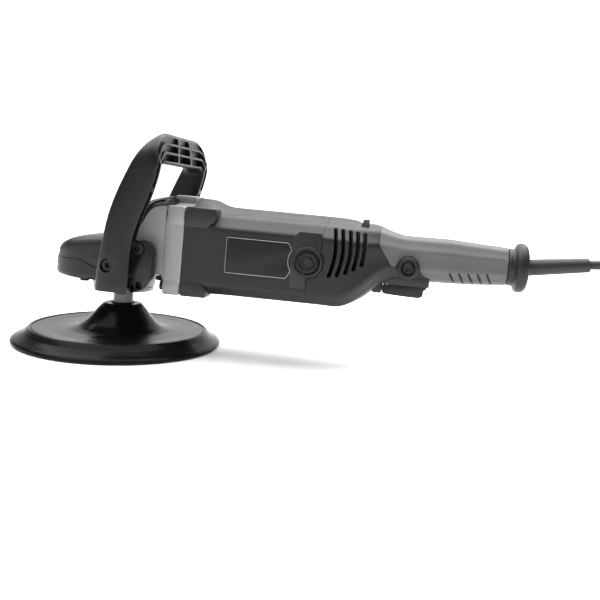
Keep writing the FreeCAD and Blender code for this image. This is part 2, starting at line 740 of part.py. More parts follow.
def build_front_handle():
    """One moulded loop: two leaning legs, a deep top bar and two foot plates."""
    ends = [LOOP_FRONT[-1], LOOP_BACK[0], LOOP_BACK[-1], LOOP_FRONT[0]]
    top_edge = Part.makeLine(Vector(ends[0][0], 0, ends[0][1]), Vector(ends[1][0], 0, ends[1][1]))
    foot_edge = Part.makeLine(Vector(ends[2][0], 0, ends[2][1]), Vector(ends[3][0], 0, ends[3][1]))
    outline = Part.Wire([spline(LOOP_FRONT), top_edge, spline(LOOP_BACK), foot_edge])
    profile = Part.Face(outline)
    profile.translate(Vector(0, -80, 0))
    slab = profile.extrude(Vector(0, 160, 0))
    outside = solid_box((-20, -float(loop_outside), 40), (90, float(loop_outside), loop_top + 2))
    edges = [e for e in outside.Edges if abs(e.CenterOfMass.z - (loop_top + 2)) < 0.1
             and abs(e.CenterOfMass.x - 35) < 0.1]
    outside = outside.makeFillet(26, edges)
    window = solid_box((-30, -float(loop_inside), 20),
                       (100, float(loop_inside), float(loop_bar_bottom)))
    edges = [e for e in window.Edges if abs(e.CenterOfMass.z - loop_bar_bottom) < 0.1
             and abs(e.CenterOfMass.x - 35) < 0.1]
    window = window.makeFillet(6, edges)
    loop = slab.common(outside).cut(window)
    feet = []
    for side in SIDES:
        points = [(3.5, 60), (9, 53.5), (24, 51.5), (38, 57), (45.6, 67), (45.6, 92), (40, 99),
                  (30, 99), (4.5, 78)]
        corners = [Vector(x, side * float(foot_inside), z) for x, z in points]
        face = Part.Face(Part.makePolygon(corners + corners[:1]))
        feet.append(face.extrude(Vector(0, side * (loop_inside - foot_inside + 1.0), 0)))
    loop = loop.fuse(feet).removeSplitter()
    holes = []
    for side in SIDES:
        for station, height, seat in ((12.3, 76.8, 56.0), (33.0, 92.0, 48.0)):
            start, end = sorted((side * 40.0, side * 70.0))
            holes.append(cross_rod(3.0 + fit_gap, start, end, station, height))
            start, end = sorted((side * seat, side * 70.0))
            holes.append(cross_rod(5.4, start, end, station, height))
    keep(free_shape("front_handle", loop.cut(holes)), "front_handle")

    bolts = []
    for side in SIDES:
        for station, height, seat in ((12.3, 76.8, 56.0), (33.0, 92.0, 48.0)):
            turn = Rotation(X_AXIS, -90 * side)
            place = Placement(Vector(station, side * seat, height), turn)
            head = rod("bolt_head", 5.0, 5.0, place)
            inward = Placement(Vector(station, side * seat, height), Rotation(X_AXIS, 90 * side))
            shank = rod("bolt_shank", 3.0, seat - 34.0, inward)
            socket = rod("bolt_socket", 2.4, 3.0,
                         Placement(Vector(station, side * (seat + 2.2), height), turn))
            bolts.append(less("handle_bolt", fused("bolt_blank", [head, shank]), socket))
    keep(group("handle_bolts", bolts), "handle_bolts")


# ---------------------------------------------------------------- motor

def motor_region():
    """Everything in front of the stepped seam, and the round brush boss behind it."""
    seam_low = float(brush_station)
    points = [(60, 160), (float(rear_seam), 160), (float(rear_seam), 98.0), (seam_low, 87.0),
              (seam_low, 40), (60, 40)]
    boss = cross_rod(brush_boss_radius, -60, 60, brush_station, motor_height)
    return side_prism(points, 60).fuse(boss)


def build_motor_housing():
    front = body_section(float(flange_back), *COLLAR)
    waist = body_section(79.0, *COLLAR)
    fair = body_section(96.0, *MOTOR)
    collar = Part.Face(front).extrude(Vector(13, 0, 0))
    hump = Part.makeLoft([waist, fair], True, True)
    tube = Part.Face(fair).extrude(Vector(92.0, 0, 0))
    solid = collar.fuse([hump, tube]).common(motor_region())
    blocks = [block.common(solid_box((float(flange_back), -60, 40), (120, 60, 160)))
              for block in corner_blocks()]
    solid = solid.fuse(blocks)
    inset = float(housing_wall)
    half, top, bottom, oval = MOTOR
    bore = body_section(60.0, half - inset, top - inset, bottom + inset, oval)
    bore = Part.Face(bore).extrude(Vector(140.0, 0, 0))
    # screw posts in the four front corners
    posts = [motor_rod(4.5, flange_back, 84.0, z, y) for y, z in FLANGE_SCREWS]
    solid = solid.cut(bore).fuse(posts)
    cuts = [motor_rod(2.0 + fit_gap, flange_back - 1, 70.0, z, y) for y, z in FLANGE_SCREWS]
    cuts.append(cross_rod(10.0 + fit_gap, -50, 50, brush_station, motor_height))
    keep(free_shape("motor_housing", solid.cut(cuts)), "motor_housing")


def build_motor():
    """Bearing plate, armature, stator and brush gear."""
    keep(ring("bearing_plate", 11.0 + fit_gap, 29.9, 6.0, on_motor(66.6)), "bearing_plate")
    front = ring("front_bearing", shaft_radius + running_gap, 11.0, 6.0, on_motor(66.6))
    rear = ring("rear_bearing", shaft_radius + running_gap, 11.0, 6.0, on_motor(180.8))
    keep(group("armature_bearings", [front, rear]), "armature_bearings")

    face = Part.Face(tooth_ring(sun_teeth, stage_module, BACKLASH, ADDENDUM, DEDENDUM, 0.0))
    sun = face.extrude(Vector(0, 0, stage_face + 0.4))
    sun.translate(Vector(0, 0, stage_start))
    shaft = Part.makeCylinder(shaft_radius, 186.6 - stage_start, Vector(0, 0, stage_start), Z_AXIS)
    armature = free_shape("armature_shaft", sun.fuse(shaft))
    armature.Placement = on_motor(0)
    keep(armature, "armature_shaft")

    bore = shaft_radius + 0.01
    blades = [ring("fan_hub", bore, 9.0, 12.0, on_motor(76.0)),
              ring("fan_disc", 8.5, 30.0, 1.6, on_motor(76.0))]
    for index in range(14):
        blade = box("fan_blade", 16.0, 1.2, 8.0, (0, 0, 0))
        turn = Rotation(X_AXIS, 360.0 * index / 14)
        tilt = turn.multiply(Rotation(Y_AXIS, 90))
        blade.Placement = Placement(Vector(77.0, 0, motor_height) + tilt.multVec(
            Vector(-29.5, -0.6, 0)), tilt)
        blades.append(blade)
    keep(fused("cooling_fan", blades), "cooling_fan")

    slots = [rod("armature_core_blank", core_radius, core_length, on_motor(core_start))]
    bore_rod = rod("armature_core_bore", bore, core_length, on_motor(core_start))
    teeth = []
    for index in range(12):
        angle = 2 * math.pi * index / 12
        y, z = 17.0 * math.cos(angle), 17.0 * math.sin(angle)
        teeth.append(rod("armature_slot", 2.6, core_length, on_motor(core_start, motor_height + z, y)))
        mouth = box("slot_mouth", core_length, 1.6, 6.0, (0, 0, 0))
        turn = Rotation(X_AXIS, math.degrees(angle) - 90)
        mouth.Placement = Placement(Vector(core_start, 0, motor_height) + turn.multVec(
            Vector(0, -0.8, 17.0)), turn)
        teeth.append(mouth)
    keep(less("armature_core", slots[0], fused("armature_slots", [bore_rod] + teeth)),
         "armature_core")

    ends = []
    for start in (core_start - 7.0, core_start + core_length + 0.05):
        bulk = [(bore, 0), (15.0, 0), (18.5, 2.0), (18.5, 5.0), (16.0, 6.9), (bore, 6.9)]
        ends.append(lathe("winding_head", bulk, on_motor(start)))
    wires = []
    for index in range(12):
        angle = 2 * math.pi * index / 12
        y, z = 17.0 * math.cos(angle), 17.0 * math.sin(angle)
        wires.append(rod("winding_bar", 2.3, core_length + 2.0,
                         on_motor(core_start - 1.0, motor_height + z, y)))
    keep(fused("armature_windings", ends + wires), "armature_windings")
    drum = [(bore, 0), (14.5, 0), (14.5, 3.0), (12.6, 3.4), (12.6, 18.0), (bore, 18.0)]
    keep(lathe("commutator", drum, on_motor(158.0)), "commutator")

    core = rod("stator_blank", 34.0, core_length, on_motor(core_start))
    hollow = rod("stator_bore", core_radius + 0.7, core_length, on_motor(core_start))
    windows = []
    for side in SIDES:
        low = motor_height + (24.5 if side > 0 else -30.5)
        windows.append(box("coil_window", core_length, 26.0, 6.0, (core_start, -13.0, low)))
    keep(less("stator_core", core, fused("stator_cuts", [hollow] + windows)), "stator_core")
    coils = []
    for side in SIDES:
        low = motor_height + (25.0 if side > 0 else -30.0)
        coils.append(box("field_coil", core_length + 14.0, 25.0, 5.0,
                         (core_start - 7.0, -12.5, low)))
    keep(group("field_coils", coils), "field_coils")

    holders, brushes, springs, caps = [], [], [], []
    for side in SIDES:
        turn = Rotation(X_AXIS, -90 * side)

        def across(distance):
            return Placement(Vector(brush_station, side * distance, motor_height), turn)

        tube = rod("holder_tube", 6.6, 18.0, across(14.2))
        slot = box("holder_slot", 6.6, 8.6, 30.0, (0, 0, 0))
        slot.Placement = Placement(Vector(brush_station, side * 10.0, motor_height) + turn.multVec(
            Vector(-3.3, -4.3, 0)), turn)
        holders.append(less("brush_holder", tube, slot))
        block = box("brush_block", 6.4, 8.4, 12.5, (0, 0, 0))
        block.Placement = Placement(Vector(brush_station, side * 13.0, motor_height)
                                    + turn.multVec(Vector(-3.2, -4.2, 0)), turn)
        brushes.append(block)
        coil = free_shape("brush_coil", spring(2.6, 0.35, 5.6, 5))
        coil.Placement = across(25.9)
        springs.append(coil)
        cap = [(0, 0), (6.2, 0), (6.2, 1.8), (10.0, 1.8), (10.0, 5.4), (8.8, 6.2), (3.4, 6.2),
               (3.4, 4.2), (0, 4.2)]
        caps.append(lathe("brush_cap", cap, across(32.3)))
    keep(group("brush_holders", holders), "brush_holders")
    keep(group("carbon_brushes", brushes), "carbon_brushes")
    keep(group("brush_springs", springs), "brush_springs")
    keep(group("brush_caps", caps), "brush_caps")


def build_nameplates():
    """One thin plate each side, scooped round the brush boss."""
    plates = []
    scoop = brush_boss_radius + 2.6
    for side in SIDES:
        outline = [(103.4, 78.6), (104.6, 77.4), (157.0, 77.4), (161.4, 85.0), (161.4, 104.0),
                   (157.6, 108.8), (104.6, 108.8), (103.4, 107.6)]
        start = side * (body_half_width + 0.02)
        corners = [Vector(x, start, z) for x, z in outline]
        face = Part.Face(Part.makePolygon(corners + corners[:1]))
        solid = face.extrude(Vector(0, side * 0.5, 0))
        plates.append(solid.cut(cross_rod(scoop, -60, 60, brush_station, motor_height)))
    keep(free_shape("nameplates", Part.makeCompound(plates)), "nameplates")


# ---------------------------------------------------------------- rear housing and handle

def arc_slot(top, middle, bottom, width):
    """Curved slot with round ends, cut right through both sides."""
    points = [Vector(x, -60, z) for x, z in (top, middle, bottom)]
    circle = Part.Arc(*points).toShape().Curve
    centre, radius = circle.Center, circle.Radius
    half = width / 2

    def moved(point, reach):
        return centre + (point - centre).normalize() * reach

    outer = Part.Arc(*[moved(Vector(p), radius + half) for p in points]).toShape()
    inner = Part.Arc(*[moved(Vector(p), radius - half) for p in points]).toShape()
    caps = []
    for point, inward in ((points[0], points[1]), (points[2], points[1])):
        away = (point - inward).normalize() * half
        caps.append(Part.Arc(moved(Vector(point), radius + half), point + away,
                             moved(Vector(point), radius - half)).toShape())
    wire = Part.Wire(Part.__sortEdges__([outer, caps[0], inner, caps[1]]))
    return Part.Face(wire).extrude(Vector(0, 120, 0))


VENTS = [((195.1, 122.8), (197.6, 104.0), (193.7, 83.8)),
         ((201.5, 122.4), (204.0, 104.4), (200.4, 84.8)),
         ((208.0, 122.0), (210.2, 105.4), (207.2, 87.6)),
         ((214.2, 121.4), (216.0, 107.4), (213.8, 91.0)),
         ((220.4, 120.6), (221.6, 109.4), (220.2, 95.0))]
VENT_WIDTH = 3.4

# front edge of the grip on the side of the handle, its notch and the scoop round the lock button
GRIP_EDGE = [(232.0, 150), (232.0, 131.0), (233.4, 113.4), (236.4, 108.0), (244.6, 95.6),
             (248.6, 95.6), (252.2, 102.4), (258.4, 105.4), (265.6, 102.6), (269.0, 96.0),
             (271.4, 90.0), (286.0, 83.6), (290.0, 70.0), (360.0, 70.0), (360.0, 150)]


def rear_region():
    seam_low = float(brush_station) + 0.25
    points = [(float(rear_seam) + 0.25, 160), (400, 160), (400, 40), (seam_low, 40),
              (seam_low, 87.0), (float(rear_seam) + 0.25, 98.0)]
    boss = cross_rod(brush_boss_radius + 0.25, -60, 60, brush_station, motor_height)
    return side_prism(points, 60).cut(boss)


def build_rear_housing():
    outer = body_loft(HANDLE_STATIONS)
    wall = float(housing_wall)
    hollow = body_loft(HANDLE_STATIONS, wall + 0.3)
    hollow = hollow.cut(solid_box((342.5, -60, 40), (400, 60, 160)))
    grip_zone = side_prism(GRIP_EDGE, 60)
    under_grip = body_loft(HANDLE_STATIONS, float(grip_wall))
    skin = outer.cut(under_grip)
    grip = skin.common(grip_zone)
    grooves = []
    for index in range(5):
        start = 295.2 + 8.0 * index
        low = 84.0 + 0.6 * index
        points = [(start, low + 9.2), (start + 1.9, low + 9.2), (start + 9.6, low - 4.0),
                  (start + 7.7, low - 4.0)]
        grooves.append(side_prism(points, 60))
    shallow = body_loft(HANDLE_STATIONS, 0.9)
    cutter = grooves[0].fuse(grooves[1:]).cut(shallow)
    heads = [cross_rod(3.4, 9, 60, x, z) for x, z in HANDLE_SCREWS]
    keep(free_shape("grip_cover", largest(grip.cut([cutter] + heads))), "grip_cover")

    shell = outer.cut(grip_zone).fuse(under_grip.common(grip_zone)).cut(hollow)
    shell = shell.common(rear_region())
    guard = solid_box((229.0, -9.0, 69.4), (float(trigger_front) - 0.6, 9.0, 80.0))
    shell = shell.fuse(guard)
    vents = [arc_slot(*vent, VENT_WIDTH) for vent in VENTS]
    cuts = list(vents)
    gap = float(clear_gap)
    mouth = solid_box((float(trigger_front) - 0.3, -trigger_half_width - gap, 60.0),
                      (trigger_front + trigger_length + 3.4, trigger_half_width + gap, 89.0))
    cuts.append(mouth)
    cuts.append(cross_rod(lock_radius + gap, -60, 0, lock_station, lock_height))
    dial_seat = motor_rod(dial_radius + 0.6, dial_station - dial_width / 2 - 0.5,
                          dial_station + dial_width / 2 + 0.5, DIAL_HEIGHT)
    scoop = cross_rod(16.0, -13.0, 13.0, dial_station + 1, 145.4)
    cuts += [dial_seat.common(solid_box((200, -30, 110), (240, 30, 160))), scoop]
    cuts += [motor_rod(5.0, 340, 350, 103.5)]
    cuts.append(cross_rod(1.5 + fit_gap, -40, 40, trigger_front + 4.0, TRIGGER_PIN_HEIGHT))
    posts = [cross_rod(3.6, -36, 36, x, z) for x, z in HANDLE_SCREWS]
    inside = body_loft(HANDLE_STATIONS, grip_wall + 0.8).common(rear_region())
    # the bulkhead clamps the armature's rear bearing between the two halves
    bulkhead = inside.common(solid_box((187.0, -60, 40), (189.6, 60, 160)))
    air_ways = [motor_rod(6.0, 186, 191, motor_height + 24 * math.sin(a), 24 * math.cos(a))
                for a in (math.radians(60 * step) for step in range(6))]
    seat = motor_rod(14.0, 182.2, 188.0).cut(motor_rod(11.0 + fit_gap, 181, 189.0))
    bulkhead = bulkhead.cut(air_ways + [motor_rod(5.0, 186, 191)])
    shell = shell.fuse([post_rod.common(inside) for post_rod in posts] + [bulkhead, seat])
    cuts += [cross_rod(1.6 + fit_gap, -30, 40, x, z) for x, z in HANDLE_SCREWS]
    cuts += [cross_rod(3.2, 8.8, 60, x, z) for x, z in HANDLE_SCREWS]
    shell = shell.cut(cuts)
    right = shell.common(solid_box((150, -60, 30), (420, 0, 170)))
    left = shell.common(solid_box((150, 0, 30), (420, 60, 170)))
    keep(free_shape("rear_housing_right", largest(right)), "rear_housing_right")
    keep(free_shape("rear_housing_left", largest(left)), "rear_housing_left")

    screws = []
    for x, z in HANDLE_SCREWS:
        place = Placement(Vector(x, 8.8, z), Rotation(X_AXIS, 90))
        shank = rod("handle_screw_shank", 1.6, 18.0, place)
        head = rod("handle_screw_head", 3.0, 2.6,
                   Placement(Vector(x, 11.4, z), Rotation(X_AXIS, 90)))
        screws.append(fused("handle_screw", [shank, head]))
    keep(group("rear_housing_screws", screws), "rear_housing_screws")


DIAL_HEIGHT = 120.4
TRIGGER_PIN_HEIGHT = 79.6
HANDLE_SCREWS = [(205.0, 66.0), (240.0, 114.0), (300.0, 112.0), (314.0, 92.5)]


def largest(shape):
    """The one main solid of a cut, without crumbs."""
    return max(shape.Solids, key=lambda solid: solid.Volume)


def build_controls():
    """Trigger with its pin, switch and plunger, lock button, speed dial and speed module."""
    start, length = float(trigger_front), float(trigger_length)
    half = float(trigger_half_width)
    outline = [(start, 69.8), (start + length - 3, 68.4), (start + length - 0.6, 71.0),
               (start + length, 76.0), (start + length + 2.4, 76.4), (start + length + 2.4, 83.4),
               (start + 10, 82.4), (start + 4, 80.4), (start, 77.6)]
    corners = [Vector(x, -half, z) for x, z in outline]
    paddle = Part.Face(Part.makePolygon(corners + corners[:1])).extrude(Vector(0, 2 * half, 0))
    eye = cross_rod(3.2, -half, half, start + 4.0, TRIGGER_PIN_HEIGHT)
    paddle = paddle.fuse(eye).cut(cross_rod(1.5 + running_gap, -20, 20, start + 4.0, TRIGGER_PIN_HEIGHT))
    keep(free_shape("trigger", paddle), "trigger")
    pin = rod("trigger_pin", 1.5, 2 * half + 5.0,
              Placement(Vector(start + 4.0, half + 2.5, TRIGGER_PIN_HEIGHT), Rotation(X_AXIS, 90)))
    keep(pin, "trigger_pin")

    plunger_station = 268.0
    case = box("switch_case", 30.0, 15.0, 17.0, (248.0, -7.5, 90.4))
    well = rod("plunger_well", 2.0 + running_gap, 8.0, upright(90.4, plunger_station))
    keep(less("switch_body", case, well), "switch_body")
    keep(rod("switch_plunger", 2.0, 9.6, upright(83.7, plunger_station)), "switch_plunger")

    button = lathe("lock_button", [(0, 0), (lock_radius - 1.2, 0), (lock_radius, 1.2),
                                   (lock_radius, 9.6), (0, 9.6)],
                   Placement(Vector(lock_station, -22.2, lock_height), Rotation(X_AXIS, -90)))
    keep(button, "lock_button")
    wheel = [(0, 0), (dial_radius - 0.5, 0), (dial_radius, 0.5), (dial_radius, dial_width - 0.5),
             (dial_radius - 0.5, dial_width), (0, dial_width)]
    keep(lathe("speed_dial", wheel, on_motor(dial_station - dial_width / 2, DIAL_HEIGHT)),
         "speed_dial")
    keep(box("speed_module", 30.0, 26.0, 16.0, (204.0, -13.0, 88.0)), "speed_module")


def build_cord_exit():
    """Rear collar, tapered sleeve and the clamp that holds the cord."""
    length = collar_back - handle_end
    profile = [(5.2, 0), (16.0, 0), (16.6, 1.4), (16.4, 4.8), (18.6, 6.6), (collar_radius - 1.2, 8.4),
               (collar_radius, 11.4), (collar_radius - 0.6, 15.4), (collar_radius - 4.4, length - 0.6),
               (collar_radius - 6, length), (8.6, length), (8.6, length - 7.6), (5.2, length - 7.6)]
    keep(lathe("cord_collar", profile, on_motor(handle_end + 0.1, 103.4)), "cord_collar")
    sleeve = lathe("cord_sleeve", [(4.02, 0), (7.5, 0), (6.2, 60.0), (4.02, 60.0)],
                   Placement(Vector(collar_back - 5.8, 0, 103.6), SLEEVE_TURN))
    keep(sleeve, "cord_sleeve")
    low = box("clamp_low", 12.0, 20.0, 4.0, (326.0, -10.0, 95.2))
    high = box("clamp_high", 12.0, 20.0, 4.0, (326.0, -10.0, 107.4))
    screws = [rod("clamp_screw", 1.5, 16.2, upright(95.2, 332.0, side * 7.5)) for side in SIDES]
    keep(fused("cord_clamp", [low, high] + screws), "cord_clamp")


SLEEVE_SLOPE = math.degrees(math.atan2(7.4, 54.0))
SLEEVE_TURN = Rotation(Y_AXIS, 90 - SLEEVE_SLOPE)

# where the cord's centre runs once it has left the sleeve
CORD_ROUTE = [(418.0, 0.0, 111.9), (442.5, 0.0, 114.8), (466.6, 0.5, 105.2), (483.3, 1.5, 85.0),
              (490.0, 4.0, 58.0), (492.0, 16.0, 40.0), (493.0, 38.0, 27.6), (493.0, 62.0, 22.0),
              (493.0, 84.0, 21.4)]
COIL_CENTRE = (537.0, 90.0)
PLUG_X = 589.0


def rounded_path(points):
    """Straight runs joined by tangent arcs, each as large as its two runs allow."""
    points = [Vector(*p) for p in points]
    edges, radii = [], []
    here = points[0]
    for before, corner, after in zip(points, points[1:], points[2:]):
        back, ahead = before - corner, after - corner
        turn = math.pi - back.getAngle(ahead)
        trim = 0.45 * min(back.Length, ahead.Length)
        radius = trim / math.tan(turn / 2)
        start = corner + Vector(back).normalize() * trim
        end = corner + Vector(ahead).normalize() * trim
        inward = (Vector(back).normalize() + Vector(ahead).normalize()).normalize()
        reach = radius / math.cos(turn / 2) - radius
        edges.append(Part.LineSegment(here, start).toShape())
        edges.append(Part.Arc(start, corner + inward * reach, end).toShape())
        radii.append(round(radius, 1))
        here = end
    edges.append(Part.LineSegment(here, points[-1]).toShape())
    return Part.Wire(edges), radii


def build_cord():
    path, radii = rounded_path(CORD_ROUTE)
    start = Vector(*CORD_ROUTE[0])
    heading = Vector(*CORD_ROUTE[1]) - start
    section = Part.Wire(Part.makeCircle(cord_diameter / 2, start, heading))
    tube = path.makePipeShell([section], True, True)
    area = math.pi * (cord_diameter / 2) ** 2
    print("cord radii", radii, "volume over section times length",
          round(tube.Volume / (area * path.Length), 4), "length", round(path.Length, 1))
    keep(free_shape("power_cord", tube), "power_cord")

    half = coil_width / 2
    low, high, round_off = coil_lift, coil_lift + coil_width, 4.0
    inner, outer = coil_radius - half, coil_radius + half
    profile = [(inner + round_off, low), (outer - round_off, low), (outer, low + round_off),
               (outer, high - round_off), (outer - round_off, high), (inner + round_off, high),
               (inner, high - round_off), (inner, low + round_off)]
    place = upright(0, *COIL_CENTRE)
    keep(lathe("cord_coil", profile, place), "cord_coil")

    gap, under, strap = 0.7, 0.1, 1.0
    outside = box("tie_outside", 2 * half + 2 * (gap + strap), 9.0,
                  coil_width + 2 * strap + 2 * under, (0, 0, 0))
    inside = box("tie_inside", 2 * half + 2 * gap, 12.0, coil_width + 2 * under, (0, 0, 0))
    x = COIL_CENTRE[0] - half - gap
    y = COIL_CENTRE[1] - coil_radius
    turn = Rotation(Z_AXIS, 90)
    outside.Placement = Placement(Vector(x + half + gap + 4.5, y - half - gap - strap,
                                         coil_lift - under - strap), turn)
    inside.Placement = Placement(Vector(x + half + gap + 6.0, y - half - gap,
                                        coil_lift - under), turn)
    keep(less("cord_tie", outside, inside), "cord_tie")

    # flat two-pin plug lying beside the coil, its pins pointing along -Y
    axis_height = 8.0
    front = 18.0
    sleeve = cone("plug_sleeve", 4.6, 6.4, 26.0,
                  Placement(Vector(PLUG_X, 70.0, 6.4), Rotation(X_AXIS, 90)))
    wedge = Part.makeLoft([
        Part.makePolygon([Vector(PLUG_X + x, y, axis_height + z) for x, z in
                          ((-w, -h), (w, -h), (w, h), (-w, h), (-w, -h))])
        for y, w, h in ((46.0, 7.5, 7.0), (34.0, 16.5, 7.6), (front, 17.5, 8.0))], True, True)
    wedge_piece = free_shape("plug_wedge", wedge)
    keep(fused("plug_body", [sleeve, wedge_piece]), "plug_body")
    pins = []
    for side in SIDES:
        place = Placement(Vector(PLUG_X + side * plug_pin_spacing / 2, front, axis_height),
                          Rotation(X_AXIS, 90))
        pins.append(rod("plug_pin", plug_pin_radius, plug_pin_length, place))
    keep(group("plug_pins", pins), "plug_pins")


# ---------------------------------------------------------------- build, check and write

for build in (build_pad, build_spindle, build_bevel_pinion, build_planet_stage, build_gear_head,
              build_head_fittings, build_front_handle, build_motor_housing, build_motor,
              build_nameplates, build_rear_housing, build_controls, build_cord_exit, build_cord):
    build()
doc.recompute()

for thing in doc.Objects:
    faults = [state for state in thing.State if state in ("Invalid", "Error")]
    if faults:
        raise RuntimeError("%s did not build: %s" % (thing.Label, faults))
for label, thing in sub_parts.items():
    shape = thing.Shape
    if shape.isNull() or not shape.isValid() or not shape.Solids:
        raise RuntimeError("%s has no valid solid" % label)
    shape.exportStep("parts/%s.step" % label)
print(len(sub_parts), "sub-parts written")
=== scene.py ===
import math

import bmesh
import bpy
import numpy as np
from mathutils import Matrix, Vector


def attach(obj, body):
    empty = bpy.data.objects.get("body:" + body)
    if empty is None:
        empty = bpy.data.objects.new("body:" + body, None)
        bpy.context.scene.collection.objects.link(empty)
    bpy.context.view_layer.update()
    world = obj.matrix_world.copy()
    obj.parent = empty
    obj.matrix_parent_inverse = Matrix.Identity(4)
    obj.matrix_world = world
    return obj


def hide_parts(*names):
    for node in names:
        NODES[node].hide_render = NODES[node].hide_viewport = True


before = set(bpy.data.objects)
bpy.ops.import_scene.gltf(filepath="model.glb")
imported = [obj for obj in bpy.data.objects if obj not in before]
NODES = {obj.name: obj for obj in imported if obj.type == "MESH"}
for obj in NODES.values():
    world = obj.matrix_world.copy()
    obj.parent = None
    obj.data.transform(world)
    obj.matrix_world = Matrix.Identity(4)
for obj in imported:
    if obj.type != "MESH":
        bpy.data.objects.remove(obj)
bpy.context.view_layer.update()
MM = 0.001


# ---------------------------------------------------------------- materials

def material(name, colour, rough, metal=0.0, grain=900.0, grain_height=0.00006, spread=0.12,
             blotch=25.0, rough_spread=0.08, coat=0.0, specular=0.5, brushed=None, edge=0.0):
    """Moulded or machined surface: fine grain in the bump, slow colour and roughness variation, and if
    edge is set a painted highlight that makes convex edges paler.
    """
    made = bpy.data.materials.new(name)
    made.use_nodes = True
    tree = made.node_tree
    shader = tree.nodes["Principled BSDF"]
    shader.inputs["Metallic"].default_value = metal
    shader.inputs["Specular IOR Level"].default_value = specular
    shader.inputs["Coat Weight"].default_value = coat
    shader.inputs["Coat Roughness"].default_value = 0.06

    def node(kind, **values):
        new = tree.nodes.new(kind)
        for key, value in values.items():
            new.inputs[key.replace("_", " ")].default_value = value
        return new

    def link(source, output, target, entry):
        tree.links.new(source.outputs[output], target.inputs[entry])

    place = node("ShaderNodeTexCoord")
    origin = place
    output = "Object"
    if brushed:
        stretch = node("ShaderNodeMapping", Scale=brushed)
        link(place, "Object", stretch, "Vector")
        origin, output = stretch, "Vector"
    slow = node("ShaderNodeTexNoise", Scale=blotch, Detail=5.0, Roughness=0.6)
    link(place, "Object", slow, "Vector")
    tint = node("ShaderNodeValToRGB")
    low = [c * (1 - spread) for c in colour]
    high = [min(1.0, c * (1 + spread)) for c in colour]
    tint.color_ramp.elements[0].position = 0.35
    tint.color_ramp.elements[0].color = (*low, 1)
    tint.color_ramp.elements[1].position = 0.65
    tint.color_ramp.elements[1].color = (*high, 1)
    link(slow, "Fac", tint, "Fac")
    last, last_out = tint, "Color"
    if edge:
        # painted highlight: sharp convex edges are made paler, as if catching the light
        shape = node("ShaderNodeNewGeometry")
        painted_edge_highlight = node("ShaderNodeValToRGB")
        painted_edge_highlight.color_ramp.elements[0].position = 0.52
        painted_edge_highlight.color_ramp.elements[0].color = (0, 0, 0, 1)
        painted_edge_highlight.color_ramp.elements[1].position = 0.60
        painted_edge_highlight.color_ramp.elements[1].color = (edge, edge, edge, 1)
        link(shape, "Pointiness", painted_edge_highlight, "Fac")
        mix = tree.nodes.new("ShaderNodeMixRGB")
        mix.inputs["Color2"].default_value = (*[min(1.0, c * 2.2 + 0.03) for c in colour], 1)
        link(painted_edge_highlight, "Color", mix, "Fac")
        link(tint, "Color", mix, "Color1")
        last, last_out = mix, "Color"
    link(last, last_out, shader, "Base Color")
    fine = node("ShaderNodeTexNoise", Scale=grain, Detail=3.0, Roughness=0.55)
    link(origin, output, fine, "Vector")
    rub = node("ShaderNodeMapRange")
    rub.inputs["From Min"].default_value = 0.1
    rub.inputs["From Max"].default_value = 0.9
    rub.inputs["To Min"].default_value = max(0.02, rough - rough_spread)
    rub.inputs["To Max"].default_value = min(1.0, rough + rough_spread)
    link(slow, "Fac", rub, "Value")
    link(rub, "Result", shader, "Roughness")
    bump = node("ShaderNodeBump", Strength=1.0, Distance=grain_height)
    link(fine, "Fac", bump, "Height")
    link(bump, "Normal", shader, "Normal")
    return made


CASING = material("satin_casting", (0.28, 0.283, 0.287), 0.46, 0.15, grain=1400, spread=0.05)
# the edge values on the dark and handle plastics paint a highlight along convex edges
DARK = material("fine_textured_dark_plastic", (0.0115, 0.0117, 0.012), 0.46, grain=1500,
                grain_height=0.00005, edge=0.3, specular=0.35)
HANDLE = material("handle_plastic", (0.0065, 0.0067, 0.007), 0.38, grain=1800,
                  grain_height=0.00004, edge=0.2, specular=0.32)
SATIN = material("satin_black_plastic", (0.006, 0.006, 0.0065), 0.36, grain=1600, grain_height=0.00003,
                 specular=0.3)
RUBBER = material("soft_black_rubber", (0.013, 0.013, 0.013), 0.55, grain=1200, rough_spread=0.1)
BAND = material("band_rubber", (0.008, 0.008, 0.008), 0.5, grain=1200)
GRIP = material("soft_touch_grip", (0.100, 0.101, 0.103), 0.62, grain=1300, grain_height=0.00005,
                spread=0.06)
GLOSS = material("glossy_urethane", (0.006, 0.006, 0.0062), 0.24, grain=60, grain_height=0.00012,
                 rough_spread=0.05, specular=0.05)
PLATE = material("smooth_plate", (0.014, 0.014, 0.0145), 0.42, grain=500, grain_height=0.00001,
                 specular=0.2)
LINE = material("pale_rim_line", (0.42, 0.42, 0.42), 0.5, grain=900, grain_height=0.00001)
STEEL = material("ground_steel", (0.30, 0.30, 0.31), 0.34, 1.0, grain=700, grain_height=0.00001,
                 brushed=(1, 1, 12))
DARK_STEEL = material("black_oxide_steel", (0.10, 0.10, 0.105), 0.36, 1.0, grain=900,
                      grain_height=0.00002)
SCREW_BLACK = material("blackened_screws", (0.012, 0.012, 0.0125), 0.5, 0.3, grain=900,
                       grain_height=0.00002)
BRASS = material("brass", (0.70, 0.53, 0.24), 0.3, 1.0, grain=800, grain_height=0.00001)
COPPER = material("enamelled_copper", (0.62, 0.28, 0.14), 0.3, 1.0, grain=600, grain_height=0.0001,
                  brushed=(20, 1, 1), coat=0.3)
CARBON = material("pressed_carbon", (0.03, 0.03, 0.03), 0.6, grain=2500, grain_height=0.00004)
NICKEL = material("nickel", (0.72, 0.71, 0.68), 0.16, 1.0, grain=500, grain_height=0.000005)
HOOK = material("hook_sheet", (0.05, 0.05, 0.055), 0.8, grain=2600, grain_height=0.0006, spread=0.3,
                blotch=600)
FAN = material("fan_plastic", (0.14, 0.14, 0.15), 0.45, grain=900)

